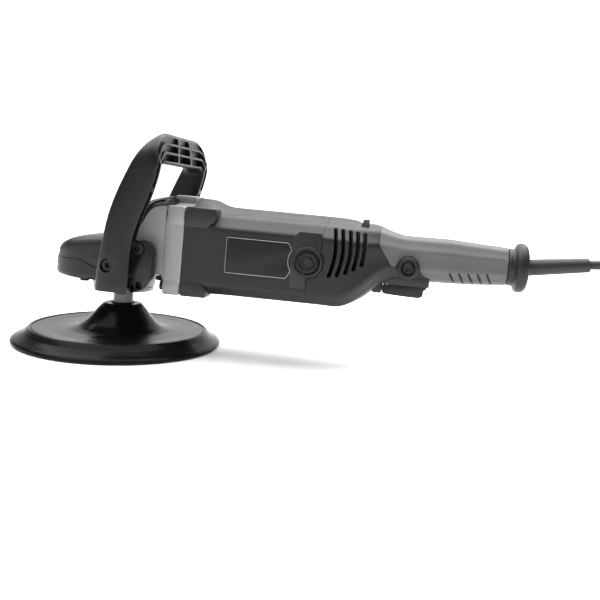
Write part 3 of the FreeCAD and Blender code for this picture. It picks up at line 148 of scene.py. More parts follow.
CARRIED = {
    CASING: "bearing_retainer bearing_plate",
    STEEL: """spindle_bearing carrier_bearing armature_bearings stator_core brush_springs trigger_pin
              spindle_lock_spring pad_insert armature_shaft armature_core""",
    SCREW_BLACK: "handle_bolts gear_housing_screws rear_housing_screws",
    DARK_STEEL: """ring_gear spindle crown_gear planet_carrier bevel_pinion planet_gear_1
                   planet_gear_2 planet_gear_3""",
    BRASS: "spindle_bush brush_holders",
    COPPER: "field_coils armature_windings commutator",
    CARBON: "carbon_brushes",
    NICKEL: "plug_pins",
    HOOK: "hook_face",
    FAN: "cooling_fan",
    SATIN: "switch_body speed_module cord_clamp switch_plunger spindle_lock cord_tie",
}
for finish, names in CARRIED.items():
    for carried in names.split():
        mesh = NODES[carried].data
        mesh.materials.clear()
        mesh.materials.append(finish)


# ---------------------------------------------------------------- mesh helpers, all in millimetres

def made_object(name, mesh, finish, sharp):
    mesh.materials.clear()
    mesh.materials.append(finish)
    mesh.shade_smooth()
    mesh.set_sharp_from_angle(angle=math.radians(sharp))
    thing = bpy.data.objects.new(name, mesh)
    bpy.context.scene.collection.objects.link(thing)
    return thing


def piece(name, vertices, faces, finish, sharp=32):
    mesh = bpy.data.meshes.new(name)
    mesh.from_pydata([tuple(float(c) * MM for c in v) for v in vertices], [], faces)
    tidy = bmesh.new()
    tidy.from_mesh(mesh)
    bmesh.ops.remove_doubles(tidy, verts=tidy.verts, dist=1e-6)
    bmesh.ops.recalc_face_normals(tidy, faces=tidy.faces)
    tidy.to_mesh(mesh)
    tidy.free()
    return made_object(name, mesh, finish, sharp)


def rides(thing, body, slot, *nodes):
    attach(thing, body)
    if nodes:
        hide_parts(*nodes)
    return thing


def applied(thing, sharp=32):
    """The same object with its modifiers made into real mesh."""
    graph = bpy.context.evaluated_depsgraph_get()
    mesh = bpy.data.meshes.new_from_object(thing.evaluated_get(graph))
    thing.modifiers.clear()
    thing.data = mesh
    mesh.shade_smooth()
    mesh.set_sharp_from_angle(angle=math.radians(sharp))
    return thing


def carve(thing, tools, operation="DIFFERENCE", sharp=32):
    for tool in tools:
        step = thing.modifiers.new("carve", "BOOLEAN")
        step.operation = operation
        step.solver = "EXACT"
        step.object = tool
    applied(thing, sharp)
    for tool in tools:
        bpy.data.objects.remove(tool)
    return thing


def bevelled(thing, width, segments=2, angle=32):
    step = thing.modifiers.new("edges", "BEVEL")
    step.width = width * MM
    step.segments = segments
    step.limit_method = "ANGLE"
    step.angle_limit = math.radians(angle)
    step.use_clamp_overlap = True
    return applied(thing)


def tube(name, rings, finish, sharp=32, caps=True):
    """Skin over a list of closed rings that all have the same number of points."""
    count = len(rings[0])
    vertices = [p for ring in rings for p in ring]
    faces = []
    for i in range(len(rings) - 1):
        for j in range(count):
            k = (j + 1) % count
            faces.append((i * count + j, i * count + k, (i + 1) * count + k, (i + 1) * count + j))
    if caps:
        faces.append(tuple(range(count - 1, -1, -1)))
        last = (len(rings) - 1) * count
        faces.append(tuple(range(last, last + count)))
    return piece(name, vertices, faces, finish, sharp)


def softened(points, radius, steps=4, closed=False):
    """Polyline with every corner turned into a small arc of that radius, or what fits."""
    points = [np.array(p, float) for p in points]
    count = len(points)
    out = [] if closed else [points[0]]
    for i in range(0 if closed else 1, count if closed else count - 1):
        before, here, after = points[i - 1], points[i], points[(i + 1) % count]
        back, ahead = before - here, after - here
        reach = min(radius, 0.45 * np.linalg.norm(back), 0.45 * np.linalg.norm(ahead))
        start = here + back / np.linalg.norm(back) * reach
        end = here + ahead / np.linalg.norm(ahead) * reach
        for t in np.linspace(0, 1, steps + 1):
            out.append((1 - t) ** 2 * start + 2 * t * (1 - t) * here + t * t * end)
    if not closed:
        out.append(points[-1])
    return out


def flowing(points, per_span=6):
    """Catmull-Rom curve through the points."""
    points = [np.array(p, float) for p in points]
    ends = [2 * points[0] - points[1]] + points + [2 * points[-1] - points[-2]]
    out = []
    for a, b, c, d in zip(ends, ends[1:], ends[2:], ends[3:]):
        for t in np.arange(per_span) / per_span:
            out.append(0.5 * (2 * b + (c - a) * t + (2 * a - 5 * b + 4 * c - d) * t ** 2
                              + (3 * b - a - 3 * c + d) * t ** 3))
    return out + [points[-1]]


def turned(name, profile, place, finish, radius=0.6, segments=128, sharp=32):
    """Lathe: (r, z) profile from axis to axis, corners softened, set by a 4x4 matrix in millimetres."""
    profile = softened(profile, radius, 3)
    rings = []
    for r, z in profile:
        r = max(r, 0.01)
        rings.append([place @ Vector((r * math.cos(a), r * math.sin(a), z))
                      for a in np.arange(segments) * 2 * math.pi / segments])
    return tube(name, rings, finish, sharp)


def upright(x=0.0, y=0.0, z=0.0):
    return Matrix.Translation((x, y, z))


def along(x, y, z, direction):
    """Frame whose own Z points along direction."""
    return Matrix.Translation((x, y, z)) @ Vector(direction).to_track_quat("Z", "Y").to_matrix().to_4x4()


def side_prism(name, outline, low, high, finish, bevel=0.0):
    """(x, z) outline pushed along Y from low to high."""
    rings = [[(x, y, z) for x, z in outline] for y in (low, high)]
    thing = tube(name, rings, finish)
    return bevelled(thing, bevel) if bevel else thing


def block(name, low, high, finish, bevel=0.0):
    outline = [(low[0], low[2]), (high[0], low[2]), (high[0], high[2]), (low[0], high[2])]
    return side_prism(name, outline, low[1], high[1], finish, bevel)


def cross_rod(name, radius, low, high, x, z, finish=DARK, segments=48):
    outline = [(x + radius * math.cos(a), z + radius * math.sin(a))
               for a in np.arange(segments) * 2 * math.pi / segments]
    return side_prism(name, outline, low, high, finish)


def wire(name, points, radius, finish, closed=False, sides=8):
    """Thin round strip along a polyline."""
    points = [Vector(p) for p in points]
    count = len(points)
    rings = []
    for i, here in enumerate(points):
        before = points[i - 1] if (closed or i) else here
        after = points[(i + 1) % count] if (closed or i < count - 1) else here
        frame_in = (after - before).normalized().to_track_quat("Z", "Y").to_matrix()
        rings.append([here + frame_in @ Vector((radius * math.cos(a), radius * math.sin(a), 0))
                      for a in np.arange(sides) * 2 * math.pi / sides])
    if closed:
        rings.append(rings[0])
    return tube(name, rings, finish, 60, caps=not closed)


def joined(name, things):
    """One object made of several."""
    whole = bmesh.new()
    for thing in things:
        whole.from_mesh(thing.data)
    mesh = bpy.data.meshes.new(name)
    whole.to_mesh(mesh)
    whole.free()
    finish = things[0].data.materials[0]
    for thing in things:
        bpy.data.objects.remove(thing)
    return made_object(name, mesh, finish, 32)


# ---------------------------------------------------------------- sections of the long body

RING_POINTS = 144
SHOULDER, CHAMFER_FOOT, LOW_SIDE, LOW_EDGE = (0.684, 0.209), (0.996, 0.471), (0.996, 0.242), (0.776, 0.038)
OVAL_SHOULDER, OVAL_SIDE = (0.60, 0.16), (0.93, 0.62)


def evened(points, blur):
    """Closed outline resampled to RING_POINTS and blurred by that many points."""
    points = np.array(points + [points[0]], float)
    gaps = np.linalg.norm(np.diff(points, axis=0), axis=1)
    run = np.concatenate([[0], np.cumsum(gaps)])
    at = np.arange(RING_POINTS) / RING_POINTS * run[-1]
    even = np.stack([np.interp(at, run, points[:, i]) for i in range(2)], axis=1)
    if blur:
        span = np.arange(-9, 10)
        weight = np.exp(-0.5 * (span / blur) ** 2)
        weight /= weight.sum()
        even = sum(w * np.roll(even, s, axis=0) for s, w in zip(span, weight))
    return even


def bowed(start, end, bulge, steps=12):
    """Points from start towards end on a shallow arc that stands out by bulge."""
    start, end = np.array(start, float), np.array(end, float)
    t = np.arange(steps)[:, None] / steps
    line = start + (end - start) * t
    normal = np.array([end[1] - start[1], start[0] - end[0]])
    normal /= np.linalg.norm(normal)
    return list(line + normal * bulge * 4 * t * (1 - t))


def body_section(half_width, top, bottom, oval, inset=0.0):
    """(y, z) ring of the motor housing, oval 0, or of the rear handle, oval 1."""
    half_width, top, bottom = half_width - inset, top - inset, bottom + inset
    half, middle = (top - bottom) / 2, (top + bottom) / 2

    def corner(boxy, rounded_one, sign):
        share = [a + (b - a) * oval for a, b in zip(boxy, rounded_one)]
        return share[0] * half_width, middle + sign * half * (1 - share[1])

    right = [corner(SHOULDER, OVAL_SHOULDER, 1), corner(CHAMFER_FOOT, OVAL_SIDE, 1),
             corner(LOW_SIDE, OVAL_SIDE, -1), corner(LOW_EDGE, OVAL_SHOULDER, -1)]
    skew = 0.01 + 0.11 * oval
    width = np.linalg.norm(np.subtract(right[1], right[0]))
    points = bowed((0, top), right[0], 0.24 * (top - right[0][1]))
    points += bowed(right[0], right[1], skew * width)
    points += bowed(right[1], right[2], half_width - right[1][0])
    points += bowed(right[2], right[3], skew * width)
    points += bowed(right[3], (0, bottom), 0.24 * (right[3][1] - bottom))
    mirror = [(-p[0], p[1]) for p in points[1:]][::-1]
    points = [tuple(p) for p in points] + [(0, bottom)] + mirror
    return evened(points, 0.75 + 2.2 * oval)


def body_loft(name, stations, finish, inset=0.0, step=1.6):
    """Skin over stations of (x, half width, top, bottom, oval), eased between them."""
    table = np.array(stations, float)
    xs = np.arange(table[0, 0], table[-1, 0] + step, step)
    xs[-1] = table[-1, 0]
    columns = [np.interp(xs, table[:, 0], table[:, i]) for i in range(1, 5)]
    kernel = np.array([1, 2, 3, 4, 3, 2, 1]) / 16
    eased = []
    for column in columns:
        padded = np.concatenate([[2 * column[0] - v for v in column[3:0:-1]], column,
                                 [2 * column[-1] - v for v in column[-2:-5:-1]]])
        eased.append(np.convolve(padded, kernel, "valid"))
    rings = [[(x, y, z) for y, z in body_section(w, t, b, o, inset)]
             for x, w, t, b, o in zip(xs, *eased)]
    return tube(name, rings, finish)


# ---------------------------------------------------------------- pad

cushion = [(0, 3), (86, 3), (86, 1.45), (89.6, 1.45), (90.0, 2.6), (88.4, 4.3), (84.6, 6.2),
           (80.4, 9.0), (76.8, 13.0), (75.9, 13.5), (75.0, 13.1), (74.2, 12.0), (0, 12.0)]
pad_cushion = turned("pad_cushion_skin", cushion, upright(), GLOSS, 0.8, 192)
rides(pad_cushion, "spindle", "gloss_black", "pad_cushion")
backing = [(10.7, 8.2), (40, 8.2), (73.6, 11.4), (73.8, 12.6), (72.6, 12.9), (60, 12.3), (44, 12.6),
           (36.5, 14.2), (31.0, 18.2), (25.6, 24.4), (20.6, 31.2), (16.6, 35.4), (15.4, 36.0),
           (10.7, 36.0)]
pad_backing = turned("pad_backing_skin", [(10.7, 36.0)] + backing, upright(), GLOSS, 2.4, 192)
rides(pad_backing, "spindle", "gloss_black", "pad_backing")


# ---------------------------------------------------------------- gear head

HEAD_TOP = [(-57, 82.4), (-55.4, 84.6), (-48.5, 90.6), (-37, 95.6), (-22, 98.8), (-4, 101.2),
            (12, 102.6), (17.6, 104.0), (20.6, 108.4), (24.5, 120.0), (28.5, 130.0), (33.5, 135.6),
            (41, 137.8), (50, 138.3)]
HEAD_BOTTOM = [(-57, 64.4), (-55.6, 62.6), (-52, 61.6), (-22, 59.4), (20, 59.4), (27, 64.0),
               (31, 68.6), (50, 70.0)]
BAND_LINE = [(-70, 79.2), (-40, 79.2), (-24, 79.2), (-10, 73.5), (6, 75.0), (22.5, 100.0),
             (28.5, 114.0), (35.0, 126.6), (43.0, 131.6), (60, 133.6)]
NOSE_FRONT, NOSE_CORNER, NOSE_HALF = -57.0, 33.0, 39.0
HANDLE_BOLTS = [(12.3, 76.8), (33.0, 92.0)]


def nose_half_width(x):
    reach = min(NOSE_CORNER, x - NOSE_FRONT)
    return NOSE_HALF - NOSE_CORNER + math.sqrt(max(0, NOSE_CORNER ** 2 - (NOSE_CORNER - reach) ** 2))


def head_section(x, inset):
    """(y, z) ring of the gear head: round upper corners, small lower ones, a crowned top."""
    top = np.interp(x, *zip(*HEAD_TOP)) - inset
    bottom = np.interp(x, *zip(*HEAD_BOTTOM)) + inset
    half = max(4.0, nose_half_width(x)) - inset
    upper = min(9.0, 0.45 * half, 0.45 * (top - bottom))
    lower = min(2.5, 0.3 * half)
    right = [(0.0, top)]
    for t in np.linspace(0.5, 0, 7)[:-1]:
        right.append(((half - upper) * (1 - 2 * t), top - 1.6 * (1 - 2 * t) ** 2))
    for a in np.linspace(math.pi / 2, 0, 9):
        right.append((half - upper + upper * math.cos(a), top - 1.6 - upper + upper * math.sin(a)))
    for a in np.linspace(0, -math.pi / 2, 5):
        right.append((half - lower + lower * math.cos(a), bottom + lower + lower * math.sin(a)))
    return evened(right + [(0.0, bottom)] + [(-y, z) for y, z in right[1:]][::-1], 0.6)


def head_skin(name, finish, inset):
    xs = list(NOSE_FRONT + NOSE_CORNER * (1 - np.cos(np.linspace(0, math.pi / 2, 22)))) + \
         list(np.arange(-22.5, 50.1, 1.5))
    xs[0] += inset
    return tube(name, [[(x, y, z) for y, z in head_section(x, inset)] for x in xs if x >= xs[0]],
                finish)


def band_prism(low, high):
    line = flowing(BAND_LINE, 6)
    outline = [(x, z + high) for x, z in line] + [(x, z + low) for x, z in reversed(line)]
    return side_prism("band_zone", outline, -60, 60, BAND)


BAND_HALF = 2.8
cover = head_skin("gear_head_cover_skin", DARK, 0.0)
carve(cover, [band_prism(BAND_HALF, 90), block("stop", (-90, -70, 20), (45.6, 70, 170), DARK)],
      "INTERSECT")
rides(bevelled(cover, 0.5), "body", "dark_plastic", "gear_head_cover")
guard = head_skin("nose_guard_skin", DARK, 0.0)
carve(guard, [band_prism(-70, -BAND_HALF), block("stop", (-90, -70, 20), (-3.2, 70, 170), DARK)],
      "INTERSECT")
carve(guard, [turned("boss_room", [(0, 30), (27.6, 30), (27.6, 90), (0, 90)], upright(), DARK, 0.1),
              turned("stub_room", [(0, 40), (4.6, 40), (4.6, 75), (0, 75)], upright(-38), DARK, 0.1)])
rides(bevelled(guard, 0.5), "body", "dark_plastic", "nose_guard")
band = head_skin("cover_band_skin", BAND, 0.9)
carve(band, [band_prism(-BAND_HALF - 0.6, BAND_HALF + 0.6)], "INTERSECT")
carve(band, [block("lock_room", (-43.4, -5.7, 60), (-21.6, 5.7, 80), BAND)])
rides(band, "body", "black_rubber", "cover_band")
casting = head_skin("gear_casting", CASING, 0.1)
carve(casting, [band_prism(-70, -BAND_HALF), block("stop", (-3.0, -70, 20), (60, 70, 170), DARK)],
      "INTERSECT")

COLLAR = (38.0, 139.0, 53.6, 0.0)
MOTOR = (38.0, 133.5, 55.2, 0.0)
flange = body_loft("gear_flange", [(28.0, 31.0, 116.0, 78.0, 0.7), (34.0, 33.0, 126.0, 76.0, 0.55),
                                   (40.0, 35.0, 131.5, 73.5, 0.35), (45.0, 37.0, 135.6, 68.0, 0.15),
                                   (48.6, 38.0, 138.6, 57.0, 0.02), (52.0,) + COLLAR,
                                   (65.7,) + COLLAR], CASING)
grey_blocks = []
for side in (-1, 1):
    for low, high in ((114.0, 130.6), (53.6, 66.5)):
        inner, outer = sorted((side * 22.0, side * 38.4))
        grey_blocks.append(block("grey_block", (50.2, inner, low), (65.7, outer, high), CASING, 2.0))
boss = turned("spindle_boss", [(0, 52.2), (25.4, 52.2), (27, 54), (27, 72), (0, 72)], upright(), CASING)
ear = block("top_ear", (46.2, -11, 126), (65.6, 11, 139.4), CASING, 1.6)
side_bosses = [cross_rod("handle_boss", 8.0, *sorted((side * 30.0, side * 42.6)), x, z, CASING)
               for side in (-1, 1) for x, z in HANDLE_BOLTS]
housing = joined("gear_housing_skin", [casting, flange, boss, ear] + grey_blocks + side_bosses)
rides(housing, "body", "housing_metal", "gear_housing")


# ---------------------------------------------------------------- front handle

LOOP_FRONT = [(1.8, 40), (1.8, 60), (2.4, 75), (4.5, 93), (7.4, 114), (13, 135), (21.5, 156.5),
              (32, 179), (38, 187), (43, 192)]
LOOP_BACK = [(30.4, 40), (30.4, 66), (31, 95), (35.5, 116), (42.8, 138), (46.8, 153), (48.5, 165),
             (48, 177), (46, 187), (44, 192)]
LEG_IN, LEG_OUT = 51.0, 64.0
FOOT_Z, BAR_UNDER, BAR_TOP = 55, 165, 191.5
INNER_BEND, OUTER_BEND = 6, 28
# shares of the way from a foot to the middle of the bar where the leg and the bend end
LEG_END, BEND_END = 0.56, 0.78
LEG_SLOTS = [(0.022, 0.068), (0.085, 0.205), (0.228, 0.453), (0.471, 0.598)]
BAR_COLUMNS = [(0.618, 0.915), (0.930, 1.070), (1.085, 1.382)]
BAR_ROWS = [(0.10, 0.33), (0.40, 0.62), (0.69, 0.90)]


def loop_edge(line, z):
    xs, zs = zip(*[(p[0], p[1]) for p in flowing(line, 4)])
    return float(np.interp(z, zs, xs))


def loop_pair(u):
    """(y, z) of the loop's inner and outer edge; u from 0 at a foot to 1 at the middle of the bar."""
    inner_y, inner_z = LEG_IN - INNER_BEND, BAR_UNDER - INNER_BEND
    outer_y, outer_z = LEG_OUT - OUTER_BEND, BAR_TOP - OUTER_BEND
    if u <= LEG_END:
        t = u / LEG_END
        return (LEG_IN, FOOT_Z + (inner_z - FOOT_Z) * t), (LEG_OUT, FOOT_Z + (outer_z - FOOT_Z) * t)
    if u <= BEND_END:
        a = math.radians(90 * (u - LEG_END) / (BEND_END - LEG_END))
        return ((inner_y + INNER_BEND * math.cos(a), inner_z + INNER_BEND * math.sin(a)),
                (outer_y + OUTER_BEND * math.cos(a), outer_z + OUTER_BEND * math.sin(a)))
    t = (u - BEND_END) / (1 - BEND_END)
    return (inner_y * (1 - t), BAR_UNDER), (outer_y * (1 - t), BAR_TOP)


def loop_point(u, a, b):
    """u along the loop (0 to 2, far foot at 2), a from front to back, b from inside to outside."""
    side = -1
    if u > 1:
        u, side = 2 - u, 1
    inner, outer = loop_pair(u)
    y, z = (inner[i] + (outer[i] - inner[i]) * b for i in range(2))
    x = loop_edge(LOOP_FRONT, z) * (1 - a) + loop_edge(LOOP_BACK, z) * a
    return x, side * y, z


def loop_outline():
    """Outline in (a, b): a full round front and small back corners."""
    half = []
    for t in np.linspace(0, math.pi / 2, 12):
        half.append((0.5 - 0.5 * math.sin(t) ** 0.9, 0.5 * math.cos(t) ** 0.8))
    front = [(a, 0.5 - b) for a, b in half] + [(a, 0.5 + b) for a, b in half[::-1][1:]]
    back = [(0.62, 0.995), (0.74, 0.975), (0.85, 0.94), (0.94, 0.895), (0.985, 0.86), (1.0, 0.82),
            (1.0, 0.18), (0.985, 0.12), (0.94, 0.06), (0.85, 0.02), (0.74, 0.005)]
    return front + back


def loop_cutter(u0, u1, a0, a1, b0, b1):
    rings = [[loop_point(u, a, b) for a, b in ((a0, b0), (a0, b1), (a1, b1), (a1, b0))]
             for u in np.linspace(u0, u1, 24)]
    return tube("pocket", rings, HANDLE)


outline = loop_outline()
stations = np.linspace(0, 2, 121)
loop = tube("front_handle_loop", [[loop_point(u, a, b) for a, b in outline] for u in stations], HANDLE)
pockets = []
for low, high in LEG_SLOTS:
    for start, end in ((low, high), (2 - high, 2 - low)):
        pockets.append(loop_cutter(start, end, 0.72, 1.06, 0.34, 0.78))
for start, end in BAR_COLUMNS:
    for b0, b1 in BAR_ROWS:
        pockets.append(loop_cutter(start, end, 0.66, 1.06, b0, b1))
for side in (-1, 1):
    pockets.append(cross_rod("bolt_recess", 5.9, *sorted((side * 56.0, side * 70.0)),
                             *HANDLE_BOLTS[0]))
carve(loop, pockets)
loop = bevelled(loop, 0.35, 1)
feet = []
for side in (-1, 1):
    outline = softened([(3.6, 60), (9, 53.5), (24, 51.5), (38, 57), (45.6, 67), (45.6, 92), (40, 99),
                        (28, 99), (4.5, 78)], 4.0, 4, True)
    foot = side_prism("foot", outline, *sorted((side * 42.9, side * 51.4)), HANDLE)
    tools = [cross_rod("bolt_hole", 5.4, *sorted((side * 47.0, side * 56.0)), *HANDLE_BOLTS[1])]
    for x0, z0, x1, z1 in ((11, 55.4, 16.6, 60), (18.4, 54.4, 24.2, 60), (26, 55.6, 31.4, 61),
                           (33, 58.0, 38, 64)):
        tools.append(block("foot_pocket", (x0, min(side * 45.2, side * 56), z0),
                           (x1, max(side * 45.2, side * 56), z1), HANDLE))
    feet.append(bevelled(carve(foot, tools), 0.5, 2))
handle = joined("front_handle_skin", [loop] + feet)
rides(handle, "body", "dark_plastic", "front_handle")


# ---------------------------------------------------------------- motor housing

SEAM, SEAM_LOW = 185.5, 174.6
BRUSH_X, MOTOR_Z = 174.6, 93.5
stations = [(66.0,) + COLLAR, (79.0,) + COLLAR, (84.0, 38.0, 138.0, 54.0, 0.0),
            (92.0, 38.0, 134.4, 54.9, 0.0), (98.0,) + MOTOR, (190.0,) + MOTOR]
motor = body_loft("motor_housing_skin", stations, DARK)
zone = side_prism("motor_zone", [(60, 160), (SEAM, 160), (SEAM, 98), (SEAM_LOW, 87), (SEAM_LOW, 40),
                                 (60, 40)], -60, 60, DARK)
carve(motor, [zone], "INTERSECT")
motor = bevelled(motor, 0.5, 2)
dark_parts = [motor]
for side in (-1, 1):
    for low, high, back, cut in ((113.5, 131.0, 93.0, 7.0), (53.6, 66.5, 89.0, -5.0)):
        slant = [(66.2, low), (back - max(cut, 0), low), (back, low + max(cut, 0)),
                 (back, high + min(cut, 0)), (back + min(cut, 0), high), (66.2, high)]
        dark_parts.append(side_prism("corner_block", slant, *sorted((side * 23.0, side * 38.8)),
                                     DARK, 1.6))
    raised = [(160.6, 70.5), (160.6, 112.5), (166.0, 119.0), (185.1, 119.0), (185.1, 98.2),
              (174.3, 87.0), (174.3, 70.5)]
    dark_parts.append(side_prism("brush_panel", raised, *sorted((side * 36.0, side * 38.5)), DARK, 0.5))
    dark_parts.append(turned("brush_ring", [(10.4, 0), (13.4, 0), (13.4, 3.0), (12.6, 3.8), (11.2, 3.8),
                                            (10.6, 2.6), (10.4, 0.1)],
                             along(BRUSH_X, side * 36.4, MOTOR_Z, (0, side, 0)), DARK, 0.4, 72))
motor_skin = joined("motor_housing_shell", dark_parts)
rides(motor_skin, "body", "dark_plastic", "motor_housing")

caps = []
for side in (-1, 1):
    profile = [(0, 0), (9.9, 0), (9.9, 3.2), (9.2, 4.2), (7.2, 4.4), (6.6, 3.4), (5.2, 3.2), (4.6, 4.0),
               (3.2, 4.0), (3.0, 2.2), (0, 2.2)]
    cap = turned("brush_cap", profile, along(BRUSH_X, side * 35.2, MOTOR_Z, (0, side, 0)), SATIN,
                 0.4, 72)
    slot_cut = block("coin_slot", (BRUSH_X - 0.8, min(side * 37.6, side * 41), MOTOR_Z - 4.6),
                     (BRUSH_X + 0.8, max(side * 37.6, side * 41), MOTOR_Z + 4.6), SATIN)
    caps.append(carve(cap, [slot_cut]))
rides(joined("brush_caps_skin", caps), "body", "black_plastic", "brush_caps")

plates, lines = [], []
for side in (-1, 1):
    scoop = [(BRUSH_X + 16.6 * math.cos(a), MOTOR_Z + 16.6 * math.sin(a))
             for a in np.radians(np.linspace(214, 146, 15))]
    outline = softened([(103.4, 77.4), (157.0, 77.4), scoop[0]], 1.6, 4)
    outline = [(103.4, 90)] + outline[:-1] + scoop + [(157.6, 108.8), (103.4, 108.8)]
    outline = [tuple(p) for p in softened(outline, 1.4, 3, True)]
    plates.append(side_prism("nameplate", outline, *sorted((side * 37.9, side * 38.45)), PLATE, 0.15))
    centre = np.mean(outline, axis=0)
    rim = [tuple(centre + (np.array(p) - centre) * (0.985, 0.965)) for p in outline]
    lines.append(wire("nameplate_rim", [(x, side * 38.45, z) for x, z in rim], 0.22, LINE, True))
rides(joined("nameplates_skin", plates), "body", "plate", "nameplates")
rides(joined("nameplate_rims", lines), "body", "plate")


# ---------------------------------------------------------------- rear housing, grip and vents

HANDLE_STATIONS = [
    (170.0,) + MOTOR, (188.0,) + MOTOR, (202.0, 38.0, 133.4, 54.4, 0.05),
    (212.0, 37.0, 132.6, 57.2, 0.2), (222.0, 34.2, 131.6, 63.2, 0.45), (232.0, 29.8, 130.4, 72.0, 0.7),
    (242.0, 24.4, 126.4, 79.2, 0.88), (254.0, 20.2, 123.4, 82.2, 1.0), (270.0, 19.0, 123.6, 82.0, 1.0),
    (293.0, 18.8, 124.0, 82.2, 1.0), (320.0, 17.8, 122.4, 83.6, 1.0), (346.0, 16.6, 121.0, 86.0, 1.0)]
GRIP_EDGE = [(232.0, 150), (232.0, 131.0), (233.4, 113.4), (236.4, 108.0), (244.6, 95.6),
             (248.6, 95.6), (252.2, 102.4), (258.4, 105.4), (265.6, 102.6), (269.0, 96.0),
             (271.4, 90.0), (286.0, 83.6), (290.0, 70.0), (360.0, 70.0), (360.0, 150)]
VENTS = [((195.1, 122.8), (197.6, 104.0), (193.7, 83.8)), ((201.5, 122.4), (204.0, 104.4), (200.4, 84.8)),
         ((208.0, 122.0), (210.2, 105.4), (207.2, 87.6)), ((214.2, 121.4), (216.0, 107.4), (213.8, 91.0)),
         ((220.4, 120.6), (221.6, 109.4), (220.2, 95.0))]
TRIGGER_X, TRIGGER_LENGTH, TRIGGER_HALF = 238.3, 37.0, 8.5
LOCK_X, LOCK_Z, DIAL_X, DIAL_Z = 259.8, 95.2, 218.5, 120.4


def bezier_arc(top, middle, bottom, steps=16):
    top, middle, bottom = (np.array(p, float) for p in (top, middle, bottom))
    control = 2 * middle - (top + bottom) / 2
    return [(1 - t) ** 2 * top + 2 * t * (1 - t) * control + t * t * bottom
            for t in np.linspace(0, 1, steps)]


def slot_outline(line, width):
    half = width / 2
    line = np.array(line)
    heading = np.gradient(line, axis=0)
    heading /= np.linalg.norm(heading, axis=1)[:, None]
    across = np.stack([heading[:, 1], -heading[:, 0]], axis=1)
    right, left = line + across * half, line - across * half
    ends = []
    for point, way, start in ((line[-1], heading[-1], across[-1]), (line[0], -heading[0], -across[0])):
        ends.append([point + half * (start * math.cos(a) + way * math.sin(a))
                     for a in np.linspace(0.3, math.pi - 0.3, 6)])
    return [tuple(p) for p in list(right) + ends[0] + list(left[::-1]) + ends[1]]


def trigger_mouth(front):
    """Opening below the grip, from front to just behind the trigger."""
    half = TRIGGER_HALF + 0.4
    return block("trigger_mouth", (front, -half, 60), (TRIGGER_X + TRIGGER_LENGTH + 3.4, half, 89), DARK)


rear = body_loft("rear_housing_skin", HANDLE_STATIONS, DARK)
rear_zone = side_prism("rear_zone", [(SEAM + 0.35, 160), (347, 160), (347, 40), (SEAM_LOW + 0.35, 40),
                                     (SEAM_LOW + 0.35, 86.8), (SEAM + 0.35, 97.8)], -60, 60, DARK)
carve(rear, [rear_zone], "INTERSECT")
grip_outline = [tuple(p) for p in softened(GRIP_EDGE, 2.4, 4, True)]
grip_zone = side_prism("grip_zone", grip_outline, -60, 60, DARK)
carve(rear, [grip_zone])
cuts = []
for side in (-1, 1):
    for vent in VENTS:
        cuts.append(side_prism("vent", slot_outline(bezier_arc(*vent), 3.4),
                               *sorted((side * 20.0, side * 60.0)), DARK))
cuts.append(trigger_mouth(TRIGGER_X - 0.4))
cuts.append(tube("dial_room", [[(x, 13.6 * math.cos(a), DIAL_Z + 13.6 * math.sin(a))
                                for a in np.arange(48) * 2 * math.pi / 48]
                               for x in (DIAL_X - 3.3, DIAL_X + 3.3)], DARK))
cuts.append(cross_rod("dial_scoop", 16.0, -13.0, 13.0, DIAL_X + 1, 145.4))
cuts.append(cross_rod("lock_hole", 5.5, -60, 0, LOCK_X, LOCK_Z))
cuts.append(cross_rod("brush_clear", 13.9, -60, 60, BRUSH_X, MOTOR_Z))
carve(rear, cuts)
rear = bevelled(rear, 0.45, 2)
core = body_loft("grip_core", [s for s in HANDLE_STATIONS if s[0] > 225], DARK, 1.4)
carve(core, [trigger_mouth(200),
             cross_rod("lock_hole", 5.5, -60, 0, LOCK_X, LOCK_Z)])
guard_block = block("trigger_guard", (229.2, -9.0, 69.6), (TRIGGER_X - 0.7, 9.0, 82.0), DARK, 1.4)
lock_ring = turned("lock_ring", [(5.6, 0), (9.4, 0), (9.6, 2.0), (8.6, 3.2), (6.6, 3.2), (5.6, 2.4),
                                 (5.6, 0.1)], along(LOCK_X, -18.2, LOCK_Z, (0, -1, 0)), DARK, 0.5, 72)
skirts = []
for side in (-1, 1):
    near, far = sorted((side * 9.2, side * 11.2))
    skirts.append(block("trigger_skirt", (TRIGGER_X - 8.4, near, 78.6),
                        (TRIGGER_X + 41.0, far, 89.2), DARK, 0.5))
rear_skin = joined("rear_housing_shell", [rear, core, guard_block, lock_ring] + skirts)
rides(rear_skin, "body", "dark_plastic", "rear_housing_left", "rear_housing_right")

grip = body_loft("grip_cover_skin", [s for s in HANDLE_STATIONS if s[0] > 225], GRIP)
inner_zone = [tuple(p) for p in softened([(x + (0.4 if x < 300 else -14.4), z) for x, z in GRIP_EDGE],
                                         2.4, 4, True)]
carve(grip, [side_prism("grip_zone", inner_zone, -60, 60, GRIP)], "INTERSECT")
grooves = [cross_rod("lock_room", 9.9, -60, -10, LOCK_X, LOCK_Z),
           block("plunger_room", (TRIGGER_X, -8.0, 60), (TRIGGER_X + 40.0, 8.0, 89.0), GRIP)]
for side in (-1, 1):
    for index in range(5):
        start, low = 295.2 + 8.0 * index, 84.0 + 0.6 * index
        line = [(start + 1.0 + 7.6 * t, low + 9.2 - 13.2 * t) for t in np.linspace(0, 1, 6)]
        rib = slot_outline(line, 2.1)
        rings = []
        for y in (side * 6.5, side * 40.0):
            rings.append([(x, y, z) for x, z in rib])
        grooves.append(tube("groove", rings if side > 0 else rings[::-1], GRIP))
carve(grip, grooves)
grip = bevelled(grip, 0.5, 2)
rides(grip, "body", "grip_rubber", "grip_cover")


# ---------------------------------------------------------------- trigger, buttons and dial

